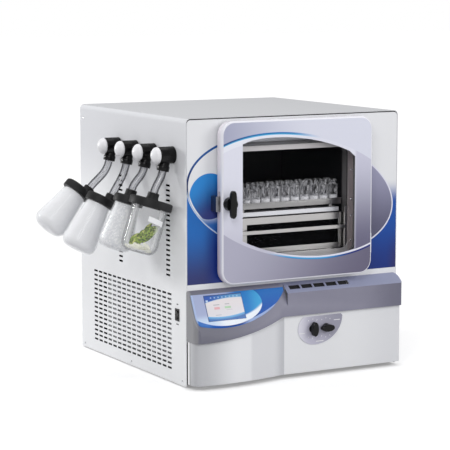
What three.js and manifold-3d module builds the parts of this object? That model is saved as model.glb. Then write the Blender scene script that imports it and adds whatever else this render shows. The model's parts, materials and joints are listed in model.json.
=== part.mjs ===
// Benchtop freeze dryer: a sheet-metal cabinet with a clear-doored tray chamber, a touch-screen
// console, and a four-port manifold with flasks on its left side.
// Millimetres, +Z up. X runs to the right along the front, Y to the back. While it is built, the
// cabinet's lower left front corner is at zero; the last lines move the origin under its middle.
import * as THREE from 'three';
import { mergeGeometries, mergeVertices } from 'three/addons/utils/BufferGeometryUtils.js';
import Module from 'manifold-3d';

const wasm = await Module();
wasm.setup();

// ---------------------------------------------------------------- driving sizes

// cabinet
const cabinetWidth = 732;
const cabinetDepth = 720;
const cabinetHeight = 783;
const wrapperBend = 14;        // outside radius of the two top bends
const sheet = 2;               // cabinet sheet steel
const seat = 0.3;              // gap between two pieces that touch
const footHeight = 6;          // from the bench to the base pan
const footDrop = 4;            // how far the feet stand below the wrapper
const footRadius = 18;
const footInset = 52;          // foot's centre from the cabinet's sides
const panelTopGap = 3;         // shadow gap over the front panel
const panelSideGap = 1;
const returnDepth = 16;        // depth of the panels' folded edges
const hatchMargin = 60;        // service and wiring cutouts, from the cabinet's sides
const hatchSill = 40;
const cutoutCorner = 10;
const rearLouvres = { x: 90, pitchX: 125, z: 70, length: 110, rows: 10, columns: 2 };

// door and its chamber
const doorLeftMargin = 97;     // from the cabinet's left side
const doorRightMargin = 118;
const doorTopMargin = 10;
const doorOverConsole = 13;    // from the console's top edge to the door
const doorThickness = 32;
const doorGap = 8;             // from the front panel to the back of the door
const doorCorner = 41;
const doorBevel = 6;
const chamberSideInset = 58;   // from the door's edges to the chamber's inside walls
const chamberFloorInset = 75;
const chamberRoofInset = 93;
const chamberDepth = 390;
const chamberWall = 3;
const chamberCorner = 20;
const flangeWidth = 40;
const flangeThickness = 5;
const flangeOverlap = 13;      // how far the front panel laps the flange
const gasketWidth = 10;
const gasketInset = 14;        // from the gasket's outside to the flange's outside
const portRadius = 30;         // vapour port in the chamber's floor

// hinges and latch
const hingeLength = 60;
const hingeInset = 60;         // from the door's ends
const hingeAxisOut = 8;        // from the door's edge to the pins
const hingeAxisForward = 10;   // from the front panel to the pins
const knuckleRadius = 4.5;
const pinRadius = 2.5;
const latchInset = 23;         // from the door's left edge to the latch shaft
const latchShaftRadius = 6;
const latchArmLength = 32;
const latchArmThickness = 8;
const latchArmFront = 14;      // from the door's front face to the arm

// console
const consoleTop = 284;
const consoleLowLeft = 136;    // lower edge under the screen
const consoleLowRight = 186;   // lower edge to the right
const consoleProud = 36;       // flat front before the front panel
const slopeDrop = 28;          // how far the slope over the flat falls
const consoleWall = 3;
const consoleLedge = 8;        // small slope over the lens
const lensLean = 26;           // degrees from upright
const lensBorder = 7;
const overlay = 2;             // thickness of the lens and of the knob plate
const screenLeft = 48;         // from the cabinet's left side
const screenFromTop = 10;      // down the leaning face
const screenWidth = 125;
const screenHeight = 79;
const ventCount = 5;
const ventPitch = 43;
const firstVent = 355;         // from the cabinet's left side to the first vent's middle
const ventSize = { width: 37, along: 16, through: 30 };

// lower front panel
const panelProud = 29;         // flat front before the front panel
const panelBottom = 10;
const bulgeProud = 28;         // bulge in front of the flat, for the panel and the console
const bulgeApex = 102;         // from the cabinet's left side
const bulgeEnd = 306;          // crease between the bulge and the flat
const knobPlateCentre = 421;   // from the cabinet's left side
const firstKnobX = 412;
const knobSpacing = 46;
const knobZ = 141;
const knobShaft = 7;           // radius of the holes for the knobs' stems

// side manifold
const valveCount = 4;
const valvePitch = 120;
const firstValve = 80;         // from the cabinet's front to the first valve
const valveDrop = 110;         // from the cabinet's top to the valves' axes
const valveRadius = 25;
const valveLength = 47;
const capLength = 21;
const stubRadius = 9;
const spoutReach = 22;         // from the cabinet's side to the spout's root
const spoutLean = 14;          // degrees from upright
const spoutDrop = 47;
const tubeRadius = 12;
const tubeWall = 2.5;
const tubeGrip = 15;           // how deep a tube sits in the spout or the lid
const lidHeight = 24;
const lidTop = 8;
const collarHeight = 20;
const flaskWall = 3;
// From front to back: how each flask hangs. reach and drop place its lid's middle from the
// cabinet's side and from the valve axis, lean is from upright, portOffset is off its axis.
const flasks = [
  { lidRadius: 64, mouth: 54, base: 54, length: 147, lean: 18, reach: 72, drop: 138, portOffset: 0 },
  { lidRadius: 45, mouth: 38, base: 52, length: 152, lean: 20, reach: 85, drop: 140, portOffset: 0 },
  { lidRadius: 45, mouth: 38, base: 54, length: 165, lean: 30, reach: 120, drop: 151, portOffset: 27 },
  { lidRadius: 45, mouth: 38, base: 53, length: 154, lean: 43, reach: 140, drop: 131, portOffset: 27 },
];

// side louvres
const slotLength = 25;
const slotHeight = 6;
const slotPitchY = 33.8;
const slotPitchZ = 14.7;
const slotRows = 16;
const slotColumns = 16;
const slotFirstY = 92;
const slotFirstZ = 40;
const columnRows = 19;        // the two tall single columns over the grid
const columnFirstZ = 316;
const columnFrontY = 100;
const columnBackY = 416;

// tray rack inside the chamber
const rackInset = 3;           // from the chamber's side walls
const rackFront = 20;          // behind the front panel's face
const rackDepth = 310;
const rackHeight = 108;
const rackSheet = 4;
const shelfThickness = 13;
const shelfLift = 4;
const trayHeight = 19;
const trayLift = 8;
const vialRadius = 15.5;
const vialHeight = 73;
const vialPitch = 33.7;
const vialRows = 2;

// machinery in the base
const collectorRadius = 105;
const collectorLength = 440;
const compressorRadius = 92;
const compressorHeight = 225;
const condenserFins = 8;
const condenserPitch = 54;
const fanRadius = 88;
const fanBlades = 5;

// ---------------------------------------------------------------- sizes that follow

const doorLeft = doorLeftMargin;
const doorRight = cabinetWidth - doorRightMargin;
const doorBottom = consoleTop + doorOverConsole;
const doorTop = cabinetHeight - doorTopMargin;
const doorMiddle = (doorBottom + doorTop) / 2;
const doorBack = -doorGap;
const doorFront = doorBack - doorThickness;
const chamber = {
  left: doorLeft + chamberSideInset,
  right: doorRight - chamberSideInset,
  bottom: doorBottom + chamberFloorInset,
  top: doorTop - chamberRoofInset,
  front: sheet + seat,
};
chamber.back = chamber.front + chamberDepth;
chamber.middle = (chamber.left + chamber.right) / 2;
const valveAxisZ = cabinetHeight - valveDrop;
const valveY = (index) => firstValve + index * valvePitch;
const floorTop = footHeight - footDrop + seat + sheet;   // upper face of the base pan
const port = { x: chamber.right - 56, y: chamber.front + 200 };
const collector = { x: port.x, z: 150, front: 80 };
const latch = { x: doorLeft + latchInset, z: doorMiddle };
const hingeX = doorRight + hingeAxisOut;
const hingeY = -hingeAxisForward;
const tanLean = Math.tan(THREE.MathUtils.degToRad(lensLean));
const knobXs = [firstKnobX, firstKnobX + knobSpacing];

// ---------------------------------------------------------------- geometry helpers

const degrees = Math.PI / 180;

// Points of an arc in degrees, both ends included.
function arc(cx, cy, radius, from, to, steps, radiusY = radius) {
  return Array.from({ length: steps + 1 }, (_, i) => {
    const angle = (from + ((to - from) * i) / steps) * degrees;
    return [cx + radius * Math.cos(angle), cy + radiusY * Math.sin(angle)];
  });
}

function roundedRectangle(x0, y0, x1, y1, radius, steps = 5) {
  return [
    ...arc(x1 - radius, y0 + radius, radius, -90, 0, steps),
    ...arc(x1 - radius, y1 - radius, radius, 0, 90, steps),
    ...arc(x0 + radius, y1 - radius, radius, 90, 180, steps),
    ...arc(x0 + radius, y0 + radius, radius, 180, 270, steps),
  ];
}

const grow = (box, by) => [box.left - by, box.bottom - by, box.right + by, box.top + by];

function solid(geometry) {
  const bare = geometry.clone();
  bare.deleteAttribute('normal');
  bare.deleteAttribute('uv');
  const merged = mergeVertices(bare, 1e-4);
  const mesh = new wasm.Mesh({
    numProp: 3,
    vertProperties: new Float32Array(merged.attributes.position.array),
    triVerts: new Uint32Array(merged.index.array),
  });
  return new wasm.Manifold(mesh);
}

// An outline of [x, y] points pushed from z0 to z1, with its edges beveled if asked.
function prismGeometry(points, z0, z1, bevel = 0, bevelSegments = 2) {
  const shape = new THREE.Shape(points.map(([x, y]) => new THREE.Vector2(x, y)));
  const geometry = new THREE.ExtrudeGeometry(shape, {
    depth: z1 - z0 - 2 * bevel,
    steps: 1,
    bevelEnabled: bevel > 0,
    bevelThickness: bevel,
    bevelSize: bevel,
    bevelOffset: -bevel,
    bevelSegments,
  });
  return geometry.translate(0, 0, z0 + bevel);
}

const alongZ = (...prism) => solid(prismGeometry(...prism));

// Points are [x, z], pushed along Y.
const alongY = (points, y0, y1, ...bevel) =>
  solid(prismGeometry(points, -y1, -y0, ...bevel).rotateX(Math.PI / 2));

// Points are [y, z], pushed along X.
const alongX = (...prism) =>
  solid(prismGeometry(...prism).rotateX(Math.PI / 2).rotateZ(Math.PI / 2));

function boxGeometry(x0, y0, z0, x1, y1, z1) {
  const geometry = new THREE.BoxGeometry(x1 - x0, y1 - y0, z1 - z0);
  return geometry.translate((x0 + x1) / 2, (y0 + y1) / 2, (z0 + z1) / 2);
}

const box = (...sides) => solid(boxGeometry(...sides));

// A profile of [radius, height] points turned about the Z axis.
function turned(profile, segments = 20) {
  const points = profile.map(([r, z]) => new THREE.Vector2(r, z));
  return new THREE.LatheGeometry(points, segments).rotateX(Math.PI / 2);
}

const discProfile = (radius, z0, z1) => [[0, z0], [radius, z0], [radius, z1], [0, z1]];

// Round bars along each axis, from one end to the other.
function rodZ(x, y, radius, z0, z1, segments = 16) {
  return solid(turned(discProfile(radius, z0, z1), segments).translate(x, y, 0));
}

function rodY(x, z, radius, y0, y1, segments = 16) {
  const bar = turned(discProfile(radius, -y1, -y0), segments).rotateX(Math.PI / 2);
  return solid(bar.translate(x, 0, z));
}

function rodX(y, z, radius, x0, x1, segments = 16) {
  const bar = turned(discProfile(radius, x0, x1), segments).rotateY(Math.PI / 2);
  return solid(bar.translate(0, y, z));
}

const joined = (...solids) => solids.reduce((whole, piece) => whole.add(piece));
const cut = (body, ...tools) => tools.reduce((left, tool) => left.subtract(tool), body);

// Many boxes that don't touch, as one cutter.
function boxes(list) {
  return solid(mergeGeometries(list.map((sides) => boxGeometry(...sides))));
}

// ---------------------------------------------------------------- scene helpers

const model = new THREE.Group();

function finish(color, roughness, metalness = 0) {
  return new THREE.MeshStandardMaterial({ color, roughness, metalness });
}

const paint = () => finish('#dfe0e4', 0.45);
const stainless = () => finish('#8f8f8b', 0.32, 1);
const chrome = () => finish('#c9cacc', 0.15, 1);
const blackPlastic = () => finish('#17181a', 0.5);
const whitePlastic = () => finish('#eeeef0', 0.4);
const consolePlastic = () => finish('#7b7c93', 0.45);

function clear(color, roughness, opacity) {
  const material = finish(color, roughness);
  material.transparent = true;
  material.opacity = opacity;
  return material;
}

function add(name, body, material, parent = model) {
  const { vertProperties, triVerts } = body.getMesh();
  const geometry = new THREE.BufferGeometry();
  geometry.setAttribute('position', new THREE.BufferAttribute(vertProperties, 3));
  geometry.setIndex(new THREE.BufferAttribute(triVerts, 1));
  geometry.computeVertexNormals();
  const mesh = new THREE.Mesh(geometry, material);
  mesh.name = name;
  parent.add(mesh);
  return mesh;
}

// ---------------------------------------------------------------- cabinet

function sideSlots() {
  const slots = [];
  const slot = (y, z) => slots.push([-1, y, z - slotHeight / 2, sheet + 1, y + slotLength, z + slotHeight / 2]);
  const lastY = cabinetDepth - returnDepth - slotLength - sheet - 10;
  for (let column = 0; column < slotColumns; column += 1) {
    const y = slotFirstY + column * slotPitchY;
    if (y > lastY) break;
    for (let row = 0; row < slotRows; row += 1) slot(y, slotFirstZ + row * slotPitchZ);
  }
  const lastZ = valveAxisZ - valveRadius - 2 * slotHeight;
  for (let row = 0; row < columnRows; row += 1) {
    const z = columnFirstZ + row * slotPitchZ;
    if (z > lastZ) break;
    slot(columnFrontY, z);
    slot(columnBackY, z);
  }
  return boxes(slots);
}

const switchCut = { y0: 45, y1: 63, z0: 191, z1: 221 };

function cabinetWrapper() {
  const arch = (inset) => [
    [inset, -1 + (inset ? 0 : 1)],
    [cabinetWidth - inset, -1 + (inset ? 0 : 1)],
    ...arc(cabinetWidth - wrapperBend, cabinetHeight - wrapperBend, wrapperBend - inset, 0, 90, 6),
    ...arc(wrapperBend, cabinetHeight - wrapperBend, wrapperBend - inset, 90, 180, 6),
  ];
  const shell = cut(alongY(arch(0), 0, cabinetDepth), alongY(arch(sheet), -1, cabinetDepth + 1));
  const ports = Array.from({ length: valveCount }, (_, i) =>
    rodX(valveY(i), valveAxisZ, stubRadius + seat, -1, sheet + 1, 20));
  const { y0, y1, z0, z1 } = switchCut;
  return cut(shell, sideSlots(), ...ports, box(-1, y0, z0, sheet + 1, y1, z1));
}

// A folded tray of sheet: a flat face with its four edges turned to one side.
function foldedPanel(inset, bottom, top, corner, faceY, backY) {
  const outline = (by) => [
    [inset + by, bottom + by],
    [cabinetWidth - inset - by, bottom + by],
    ...arc(cabinetWidth - inset - corner, top - corner, corner - by, 0, 90, 5),
    ...arc(inset + corner, top - corner, corner - by, 90, 180, 5),
  ];
  const front = Math.min(faceY, backY);
  const back = Math.max(faceY, backY);
  const hollow = faceY < backY ? [faceY + sheet, backY + 1] : [backY - 1, faceY - sheet];
  return cut(alongY(outline(0), front, back, 0), alongY(outline(sheet), ...hollow));
}

function frontPanel() {
  const inset = sheet + panelSideGap;
  const top = cabinetHeight - sheet - panelTopGap;
  const panel = foldedPanel(inset, footHeight, top, wrapperBend - sheet, 0, returnDepth);
  const opening = roundedRectangle(
    ...grow(chamber, flangeWidth - flangeOverlap), chamberCorner + flangeWidth - flangeOverlap, 4);
  const serviceHatch = roundedRectangle(hatchMargin, hatchSill, cabinetWidth - hatchMargin,
    knobZ - 2 * cutoutCorner, cutoutCorner, 2);
  const wiring = roundedRectangle(hatchMargin, consoleLowRight + cutoutCorner,
    screenLeft + screenWidth + 27, consoleTop - 3 * cutoutCorner, cutoutCorner, 2);
  const knobHoles = knobXs.map((x) => rodY(x, knobZ, knobShaft, -1, sheet + 1, 16));
  // below the console the left edge steps in, which leaves a dark gap beside the wrapper
  const relief = box(inset - 1, -1, 0, inset + 4, returnDepth + 1, consoleLowLeft - 3);
  const reliefWall = box(inset + 4, 0, footHeight, inset + 4 + sheet, returnDepth, consoleLowLeft);
  return cut(joined(cut(panel, relief), reliefWall), alongY(opening, -1, returnDepth + 1),
    alongY(serviceHatch, -1, returnDepth + 1), alongY(wiring, -1, returnDepth + 1), ...knobHoles);
}

const inletCut = { x0: cabinetWidth - 120, x1: cabinetWidth - 72, z0: 60, z1: 88 };
const pumpPort = { x: collector.x, z: collector.z, radius: 13 };

function rearPanel() {
  const inset = sheet + panelSideGap;
  const top = cabinetHeight - sheet - panelTopGap;
  const back = cabinetDepth - 1;
  const panel = foldedPanel(inset, footHeight, top, wrapperBend - sheet, back, back - returnDepth);
  const louvres = [];
  for (let row = 0; row < rearLouvres.rows; row += 1) {
    for (let column = 0; column < rearLouvres.columns; column += 1) {
      const x = rearLouvres.x + column * rearLouvres.pitchX;
      const z = rearLouvres.z + row * slotPitchZ;
      louvres.push([x, back - sheet - 1, z, x + rearLouvres.length, back + 1, z + slotHeight]);
    }
  }
  const { x0, x1, z0, z1 } = inletCut;
  return cut(panel, boxes(louvres), box(x0, back - sheet - 1, z0, x1, back + 1, z1),
    rodY(pumpPort.x, pumpPort.z, pumpPort.radius + 2 * seat, back - sheet - 1, back + 1, 16));
}

const footSpots = [
  ['foot_front_left', footInset, footInset - 10],
  ['foot_front_right', cabinetWidth - footInset, footInset - 10],
  ['foot_rear_left', footInset, cabinetDepth - footInset],
  ['foot_rear_right', cabinetWidth - footInset, cabinetDepth - footInset],
];

function basePan() {
  const side = sheet + 2 * seat;
  const front = returnDepth + 2 * seat;
  const back = cabinetDepth - 1 - returnDepth - 2 * seat;
  const low = floorTop - sheet;
  const pan = cut(
    box(side, front, low, cabinetWidth - side, back, low + 40),
    box(side + sheet, front + sheet, floorTop, cabinetWidth - side - sheet, back - sheet, low + 41));
  const studHoles = footSpots.map(([, x, y]) => rodZ(x, y, 4 + seat, low - 1, floorTop + 1, 12));
  return cut(pan, ...studHoles);
}

function foot() {
  const pad = footHeight;
  return solid(turned([
    [0, 0], [footRadius - 1, 0], [footRadius, 1], [footRadius - 3, pad], [4, pad], [4, pad + 10], [0, pad + 10],
  ], 16));
}

// ---------------------------------------------------------------- console and lower panel

// Plan of the bulged front: up the left side, round its corner, along the bulge to the crease,
// and along the flat to the right side.
function bulgedPlan(left, right, proud, cornerLeft, cornerRight, back) {
  const halfChord = bulgeEnd - bulgeApex;
  const radius = (halfChord ** 2 + bulgeProud ** 2) / (2 * bulgeProud);
  const cy = -proud - bulgeProud + radius;
  const cornerX = left + cornerLeft;
  const cornerY = cy - Math.sqrt((radius - cornerLeft) ** 2 - (cornerX - bulgeApex) ** 2);
  const tangent = 360 + Math.atan2(cornerY - cy, cornerX - bulgeApex) / degrees;
  const crease = 360 + Math.atan2(-proud - cy, halfChord) / degrees;
  return [
    [left, back],
    ...arc(cornerX, cornerY, cornerLeft, 180, tangent, 6).slice(0, -1),
    ...arc(bulgeApex, cy, radius, tangent, crease, 14),
    ...arc(right - cornerRight, -proud + cornerRight, cornerRight, -90, 0, 4),
    [right, back],
  ];
}

// The console's lower edge: level on the left, swept up to the crease, level on the right.
function sweptEdge(left, right, lift) {
  const start = 20;
  const run = bulgeEnd - start;
  const rise = consoleLowRight - consoleLowLeft;
  const radius = (run ** 2 + rise ** 2) / (2 * rise);
  const end = -90 + Math.asin(run / radius) / degrees;
  return [
    [left, consoleLowLeft + lift],
    ...arc(start, consoleLowLeft + lift + radius, radius, -90, end, 12),
    [right, consoleLowRight + lift],
  ];
}

const consoleLeft = 0.5;
const consoleRight = cabinetWidth - 0.5;
const lensTip = { x: bulgeEnd + 12, z: consoleTop - 22 };

// Side profiles: the lens face leans back on the left, a steeper slope runs along the right.
function consoleProfiles(skin) {
  const top = consoleTop - skin;
  const ledgeY = -consoleLedge + skin;
  const ledgeZ = consoleTop - consoleLedge - skin * 0.3;
  const bottom = 80;
  const lens = [[1, top + 1], [0, top], [ledgeY, ledgeZ], [ledgeY - (ledgeZ - bottom) * tanLean, bottom], [1, bottom]];
  const slopeRatio = slopeDrop / consoleProud;
  const reach = 110;
  const slope = [[1, top + 1], [0, top], [-reach, top - reach * slopeRatio], [-reach, bottom], [1, bottom]];
  const split = lensTip.x + 4;
  return joined(alongX(lens, -5, split + 0.01), alongX(slope, split, cabinetWidth + 5));
}

function consoleSolid(skin, drop) {
  const left = consoleLeft + skin;
  const right = consoleRight - skin;
  const back = skin > 0 ? 2 : -seat;
  const plan = alongZ(bulgedPlan(left, right, consoleProud - skin, 22 - skin, 6 - skin / 2, back), 60, 300);
  const top = consoleTop - skin;
  const face = alongY([
    ...sweptEdge(left - 1, right + 1, -drop),
    ...arc(right - 14, top - 14, 14, 0, 90, 4),
    ...arc(left + 6, top - 6, 6, 90, 180, 3),
  ].map(([x, z]) => [Math.min(Math.max(x, left - 1), right + 1), z]), -120, 5);
  return plan.intersect(face).intersect(consoleProfiles(skin));
}

function consoleVents() {
  const fall = Math.atan2(slopeDrop, consoleProud);
  const list = Array.from({ length: ventCount }, (_, i) => {
    const vent = new THREE.BoxGeometry(ventSize.width, ventSize.along, ventSize.through);
    vent.rotateX(fall);
    return vent.translate(firstVent + i * ventPitch, -consoleProud / 2, consoleTop - slopeDrop / 2);
  });
  return solid(mergeGeometries(list));
}

function consoleBezel() {
  const shell = cut(consoleSolid(0, 0), consoleSolid(consoleWall, 40));
  return cut(shell, consoleVents());
}

// A plate lying on the leaning face, between two heights over it.
function onLensFace(x0, x1, fromTop, length, low, high) {
  const group = new THREE.Matrix4().makeRotationX(lensLean * degrees * -1);
  group.setPosition(0, -consoleLedge, consoleTop - consoleLedge);
  const plate = boxGeometry(x0, -high, -fromTop - length, x1, -low, -fromTop);
  return plate.applyMatrix4(group);
}

function screenLens() {
  const slab = solid(onLensFace(0, lensTip.x + 10, 3, 200, seat, seat + overlay));
  const plan = alongZ(bulgedPlan(consoleLeft + lensBorder, consoleRight, consoleProud - lensBorder,
    22 - lensBorder, 1, 50), 60, 300);
  // from the front, a long arc runs up from under the screen to the lens's right tip
  const rise = 224;
  const top = consoleTop - consoleLedge - 4;
  const face = alongY([
    [-30, 90],
    [lensTip.x - 115, 90],
    ...arc(lensTip.x - 169, lensTip.z + 147, rise, -76, -41, 9),
    [lensTip.x - 1, top],
    [-30, top],
  ], -120, 60);
  const hole = solid(onLensFace(screenLeft - seat, screenLeft + screenWidth + seat,
    screenFromTop - seat, screenHeight + 2 * seat, -5, 10));
  return cut(slab.intersect(plan).intersect(face), hole);
}

function touchScreen() {
  return solid(onLensFace(screenLeft, screenLeft + screenWidth, screenFromTop, screenHeight,
    seat, seat + overlay + 0.6));
}

const panelLeft = 1.5;

function lowerFrontPanel() {
  const right = cabinetWidth - panelLeft;
  const outline = (skin, back) => bulgedPlan(panelLeft + skin, right - skin,
    panelProud - skin, 24 - skin, 7 - skin, back);
  const bottom = panelBottom;
  const sheetBody = cut(alongZ(outline(0, -seat), bottom, 260), alongZ(outline(sheet, 4), bottom - 1, 261));
  const face = alongY([
    [-20, bottom],
    [cabinetWidth + 20, bottom],
    ...sweptEdge(-20, cabinetWidth + 20, 18).reverse(),
  ], -120, 5);
  const knobHoles = knobXs.map((x) =>
    rodY(x, knobZ, knobShaft, -panelProud - 1, -panelProud + sheet + 1, 16));
  // the sides stop under the console, and the left one leaves a dark gap before the wrapper
  const inside = consoleWall + 1;
  const sides = [
    box(-5, -120, consoleLowLeft - seat, panelLeft + inside, 5, consoleTop),
    box(right - inside, -120, consoleLowRight - seat, cabinetWidth + 5, 5, consoleTop),
    box(-5, -7, 0, panelLeft + 4, 5, consoleTop),
  ];
  return cut(sheetBody.intersect(face), ...knobHoles, ...sides);
}

// A half oval under the console: a long curve on the right, a tighter one on the left.
const plateLow = 92;
const plateRight = 96;         // from its middle
const plateLeft = 60;

function knobPlate() {
  const top = consoleLowRight - 7;
  const shoulder = top - 5;
  const leftMiddle = plateLow + 50;
  const outline = [
    ...arc(knobPlateCentre, shoulder, plateRight, -90, 0, 10, shoulder - plateLow),
    [knobPlateCentre + plateRight - 6, top],
    ...arc(knobPlateCentre, leftMiddle, plateLeft, 135, 270, 10, leftMiddle - plateLow),
  ];
  const plate = alongY(outline.map(([x, z]) => [x, Math.min(z, top)]),
    -panelProud - seat - overlay, -panelProud - seat);
  const holes = knobXs.map((x) => rodY(x, knobZ, 4 + seat, -panelProud - 5, -panelProud, 16));
  return cut(plate, ...holes);
}

// An oval bar knob on its stem, centred on its own axis along Y and lying along Z.
function barKnob() {
  const face = -panelProud - 2 * seat - overlay;
  const grip = alongY(arc(0, 0, 11, 0, 337.5, 15, 22), face - 20, face - 4, 2, 1);
  const skirt = rodY(0, 0, 13, face - 5, face, 16);
  const stem = rodY(0, 0, 4, face - 1, 8, 12);
  return joined(grip, skirt, stem);
}

// ---------------------------------------------------------------- door, hinges, latch

function door() {
  const slab = alongY(roundedRectangle(doorLeft, doorBottom, doorRight, doorTop, doorCorner, 6),
    doorFront, doorBack, doorBevel);
  const armFront = doorFront + latchArmFront;
  const pocket = box(doorLeft - 1, armFront - seat, latch.z - 10,
    latch.x + 15, armFront + latchArmThickness + seat, latch.z + latchArmLength + 3);
  const bore = rodY(latch.x, latch.z, latchShaftRadius + seat, doorFront - 1, armFront + 1, 20);
  return cut(slab, pocket, bore);
}

// Fixed half: a plate on the front panel with two knuckles and the pin, from z = 0 up.
function hingeBracket() {
  const third = hingeLength / 3;
  const plate = box(-20, hingeAxisForward - seat - sheet, 0, 9, hingeAxisForward - seat, hingeLength);
  const knuckles = [[0, third - 1], [2 * third + 1, hingeLength]].map(([z0, z1]) => joined(
    rodZ(0, 0, knuckleRadius, z0, z1, 16),
    box(-knuckleRadius, 0, z0, knuckleRadius, hingeAxisForward - seat - 1, z1)));
  return joined(plate, ...knuckles, rodZ(0, 0, pinRadius, 0.5, hingeLength - 0.5, 16));
}

// Moving half: a strap on the door's edge with the middle knuckle.
function hingeLeaf() {
  const third = hingeLength / 3;
  const z0 = third - 0.5;
  const z1 = 2 * third + 0.5;
  const strapFront = -doorThickness + doorBevel + hingeAxisForward - doorGap;
  const strap = box(-hingeAxisOut + seat, strapFront, 0, -knuckleRadius - 0.7, 0, hingeLength);
  const knuckle = joined(rodZ(0, 0, knuckleRadius, z0, z1, 16),
    box(-knuckleRadius - 1, -knuckleRadius, z0, 0, 0, z1));
  return cut(joined(strap, knuckle), rodZ(0, 0, pinRadius + seat, -1, hingeLength + 1, 16));
}

// The latch's shaft is along Y at x = z = 0; at rest the arm stands upright, clear of the keeper.
function latchArm() {
  const armFront = doorFront + latchArmFront;
  const bar = alongY([
    ...arc(0, 0, 9, 180, 360, 8),
    ...arc(0, latchArmLength - 6, 6, 0, 180, 6),
  ], armFront, armFront + latchArmThickness);
  return joined(bar, rodY(0, 0, latchShaftRadius, doorFront - 20, armFront + 1, 16));
}

function latchKnob() {
  const hubBack = doorFront - seat;
  const hub = rodY(0, 0, 20, hubBack - 18, hubBack, 20);
  const half = [[10.5, 0], [10.2, 16], [8.8, 32], ...arc(1.5, 35, 5, 20, 90, 3)];
  const mirrored = [
    ...half,
    ...half.map(([x, z]) => [-x, z]).reverse().slice(1),
    ...half.map(([x, z]) => [-x, -z]).slice(1),
    ...half.map(([x, z]) => [x, -z]).reverse().slice(1, -1),
  ];
  const bar = alongY(mirrored, hubBack - 31, hubBack - 17, 2, 1);
  return cut(joined(hub, bar), rodY(0, 0, latchShaftRadius + seat, doorFront - 20 - seat, hubBack + 1, 16));
}

// A hooked strip on the front panel; the arm turns in behind its lip.
function latchKeeper() {
  const lipFront = doorFront + latchArmFront - 7;
  const lipBack = lipFront + 4;
  const outer = doorLeft - 15;
  const inner = doorLeft - 1;
  const plan = [
    [inner, -seat], [outer, -seat], [outer, lipFront + 2], [outer + 2, lipFront], [inner - 2, lipFront],
    [inner, lipFront + 2], [inner, lipBack], [outer + 4, lipBack], [outer + 4, -seat - 3], [inner, -seat - 3],
  ];
  return alongZ(plan, latch.z - 22, latch.z + 22);
}

// ---------------------------------------------------------------- chamber and rack

function vacuumChamber() {
  const { front, back } = chamber;
  const outline = (by) => roundedRectangle(...grow(chamber, by), chamberCorner + by, 5);
  const flange = alongY(outline(flangeWidth), front, front + flangeThickness);
  const liner = alongY(outline(chamberWall), front, back + chamberWall);
  const stub = rodZ(port.x, port.y, portRadius + 3, chamber.bottom - 15, chamber.bottom - 1, 24);
  return cut(joined(flange, liner, stub), alongY(outline(0), front - 1, back),
    rodZ(port.x, port.y, portRadius, chamber.bottom - 20, chamber.bottom + 5, 24));
}

function doorGasket() {
  const outside = flangeWidth - gasketInset;
  const outline = (by) => roundedRectangle(...grow(chamber, by), chamberCorner + by, 4);
  const y0 = doorBack + seat;
  const y1 = chamber.front - seat;
  return cut(alongY(outline(outside), y0, y1), alongY(outline(outside - gasketWidth), y0 - 1, y1 + 1));
}

const rack = {
  left: chamber.left + rackInset,
  right: chamber.right - rackInset,
  bottom: chamber.bottom + seat,
  top: chamber.bottom + rackHeight,
  back: rackFront + rackDepth,
};

function trayRack() {
  // its two lower edges are rounded to follow the chamber's corners
  const section = (by) => {
    const corner = chamberCorner - rackInset - by;
    return [
      [rack.right - by, rack.top - by],
      [rack.left + by, rack.top - by],
      ...arc(rack.left + by + corner, rack.bottom + by + corner, corner, 180, 270, 4),
      ...arc(rack.right - by - corner, rack.bottom + by + corner, corner, 270, 360, 4),
    ];
  };
  const body = alongY(section(0), rackFront, rack.back);
  const hollow = alongY(section(rackSheet), rackFront + rackSheet, rack.back + 1);
  const window = box(rack.left + 56, rackFront - 1, rack.bottom + 16,
    rack.right - 20, rackFront + rackSheet + 1, rack.top - 20);
  // the vapour port in the chamber's floor stays open under the rack
  const drain = rodZ(port.x, port.y, portRadius + 5, rack.bottom - 1, rack.bottom + rackSheet + 1, 24);
  return cut(body, hollow, window, drain);
}

// A bar across the rack's front on two uprights that stand on the chamber's floor.
function rackCrossbar() {
  const y0 = 5;
  const y1 = 12;
  const barTop = rack.bottom + 71;
  const uprightTop = rack.top + 20;
  const outer = [chamber.left + 1, chamber.right - 1];
  const width = 9;
  // how high the chamber's rounded corner stands at a distance from its side wall
  const cornerRise = (from) => chamberCorner - Math.sqrt(chamberCorner ** 2 - (chamberCorner - from) ** 2);
  const upright = (x, inward) => alongY([
    [x, rack.bottom + cornerRise(1)],
    [x + inward * width, rack.bottom + cornerRise(1 + width)],
    [x + inward * width, uprightTop],
    [x, uprightTop],
  ], y0, y1);
  return joined(box(outer[0], y0, barTop - 11, outer[1], y1, barTop),
    upright(outer[0], 1), upright(outer[1], -1));
}

const shelf = { bottom: rack.top + shelfLift, top: rack.top + shelfLift + shelfThickness };

function heatedShelf() {
  const x0 = rack.left + 18;
  const x1 = rack.right - 19;
  const y1 = rackFront + rackDepth - 20;
  const plate = box(x0, rackFront, shelf.bottom, x1, y1, shelf.top);
  const pads = [[x0 + 20, rackFront + 25], [x1 - 20, rackFront + 25], [x0 + 20, y1 - 20], [x1 - 20, y1 - 20]]
    .map(([x, y]) => rodZ(x, y, 8, rack.top + seat, shelf.bottom + 1, 12));
  return joined(plate, ...pads);
}

const tray = {
  left: rack.left + 10,
  right: rack.right - 10,
  back: rackFront + 250,
  bottom: shelf.top + trayLift,
};

function vialProfile(base) {
  const shoulder = base + vialHeight * 0.72;
  const neck = vialRadius * 0.66;
  return [
    [0, base], [vialRadius, base], [vialRadius, shoulder], [neck, shoulder + 8],
    [neck, base + vialHeight], [0, base + vialHeight],
  ];
}

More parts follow.
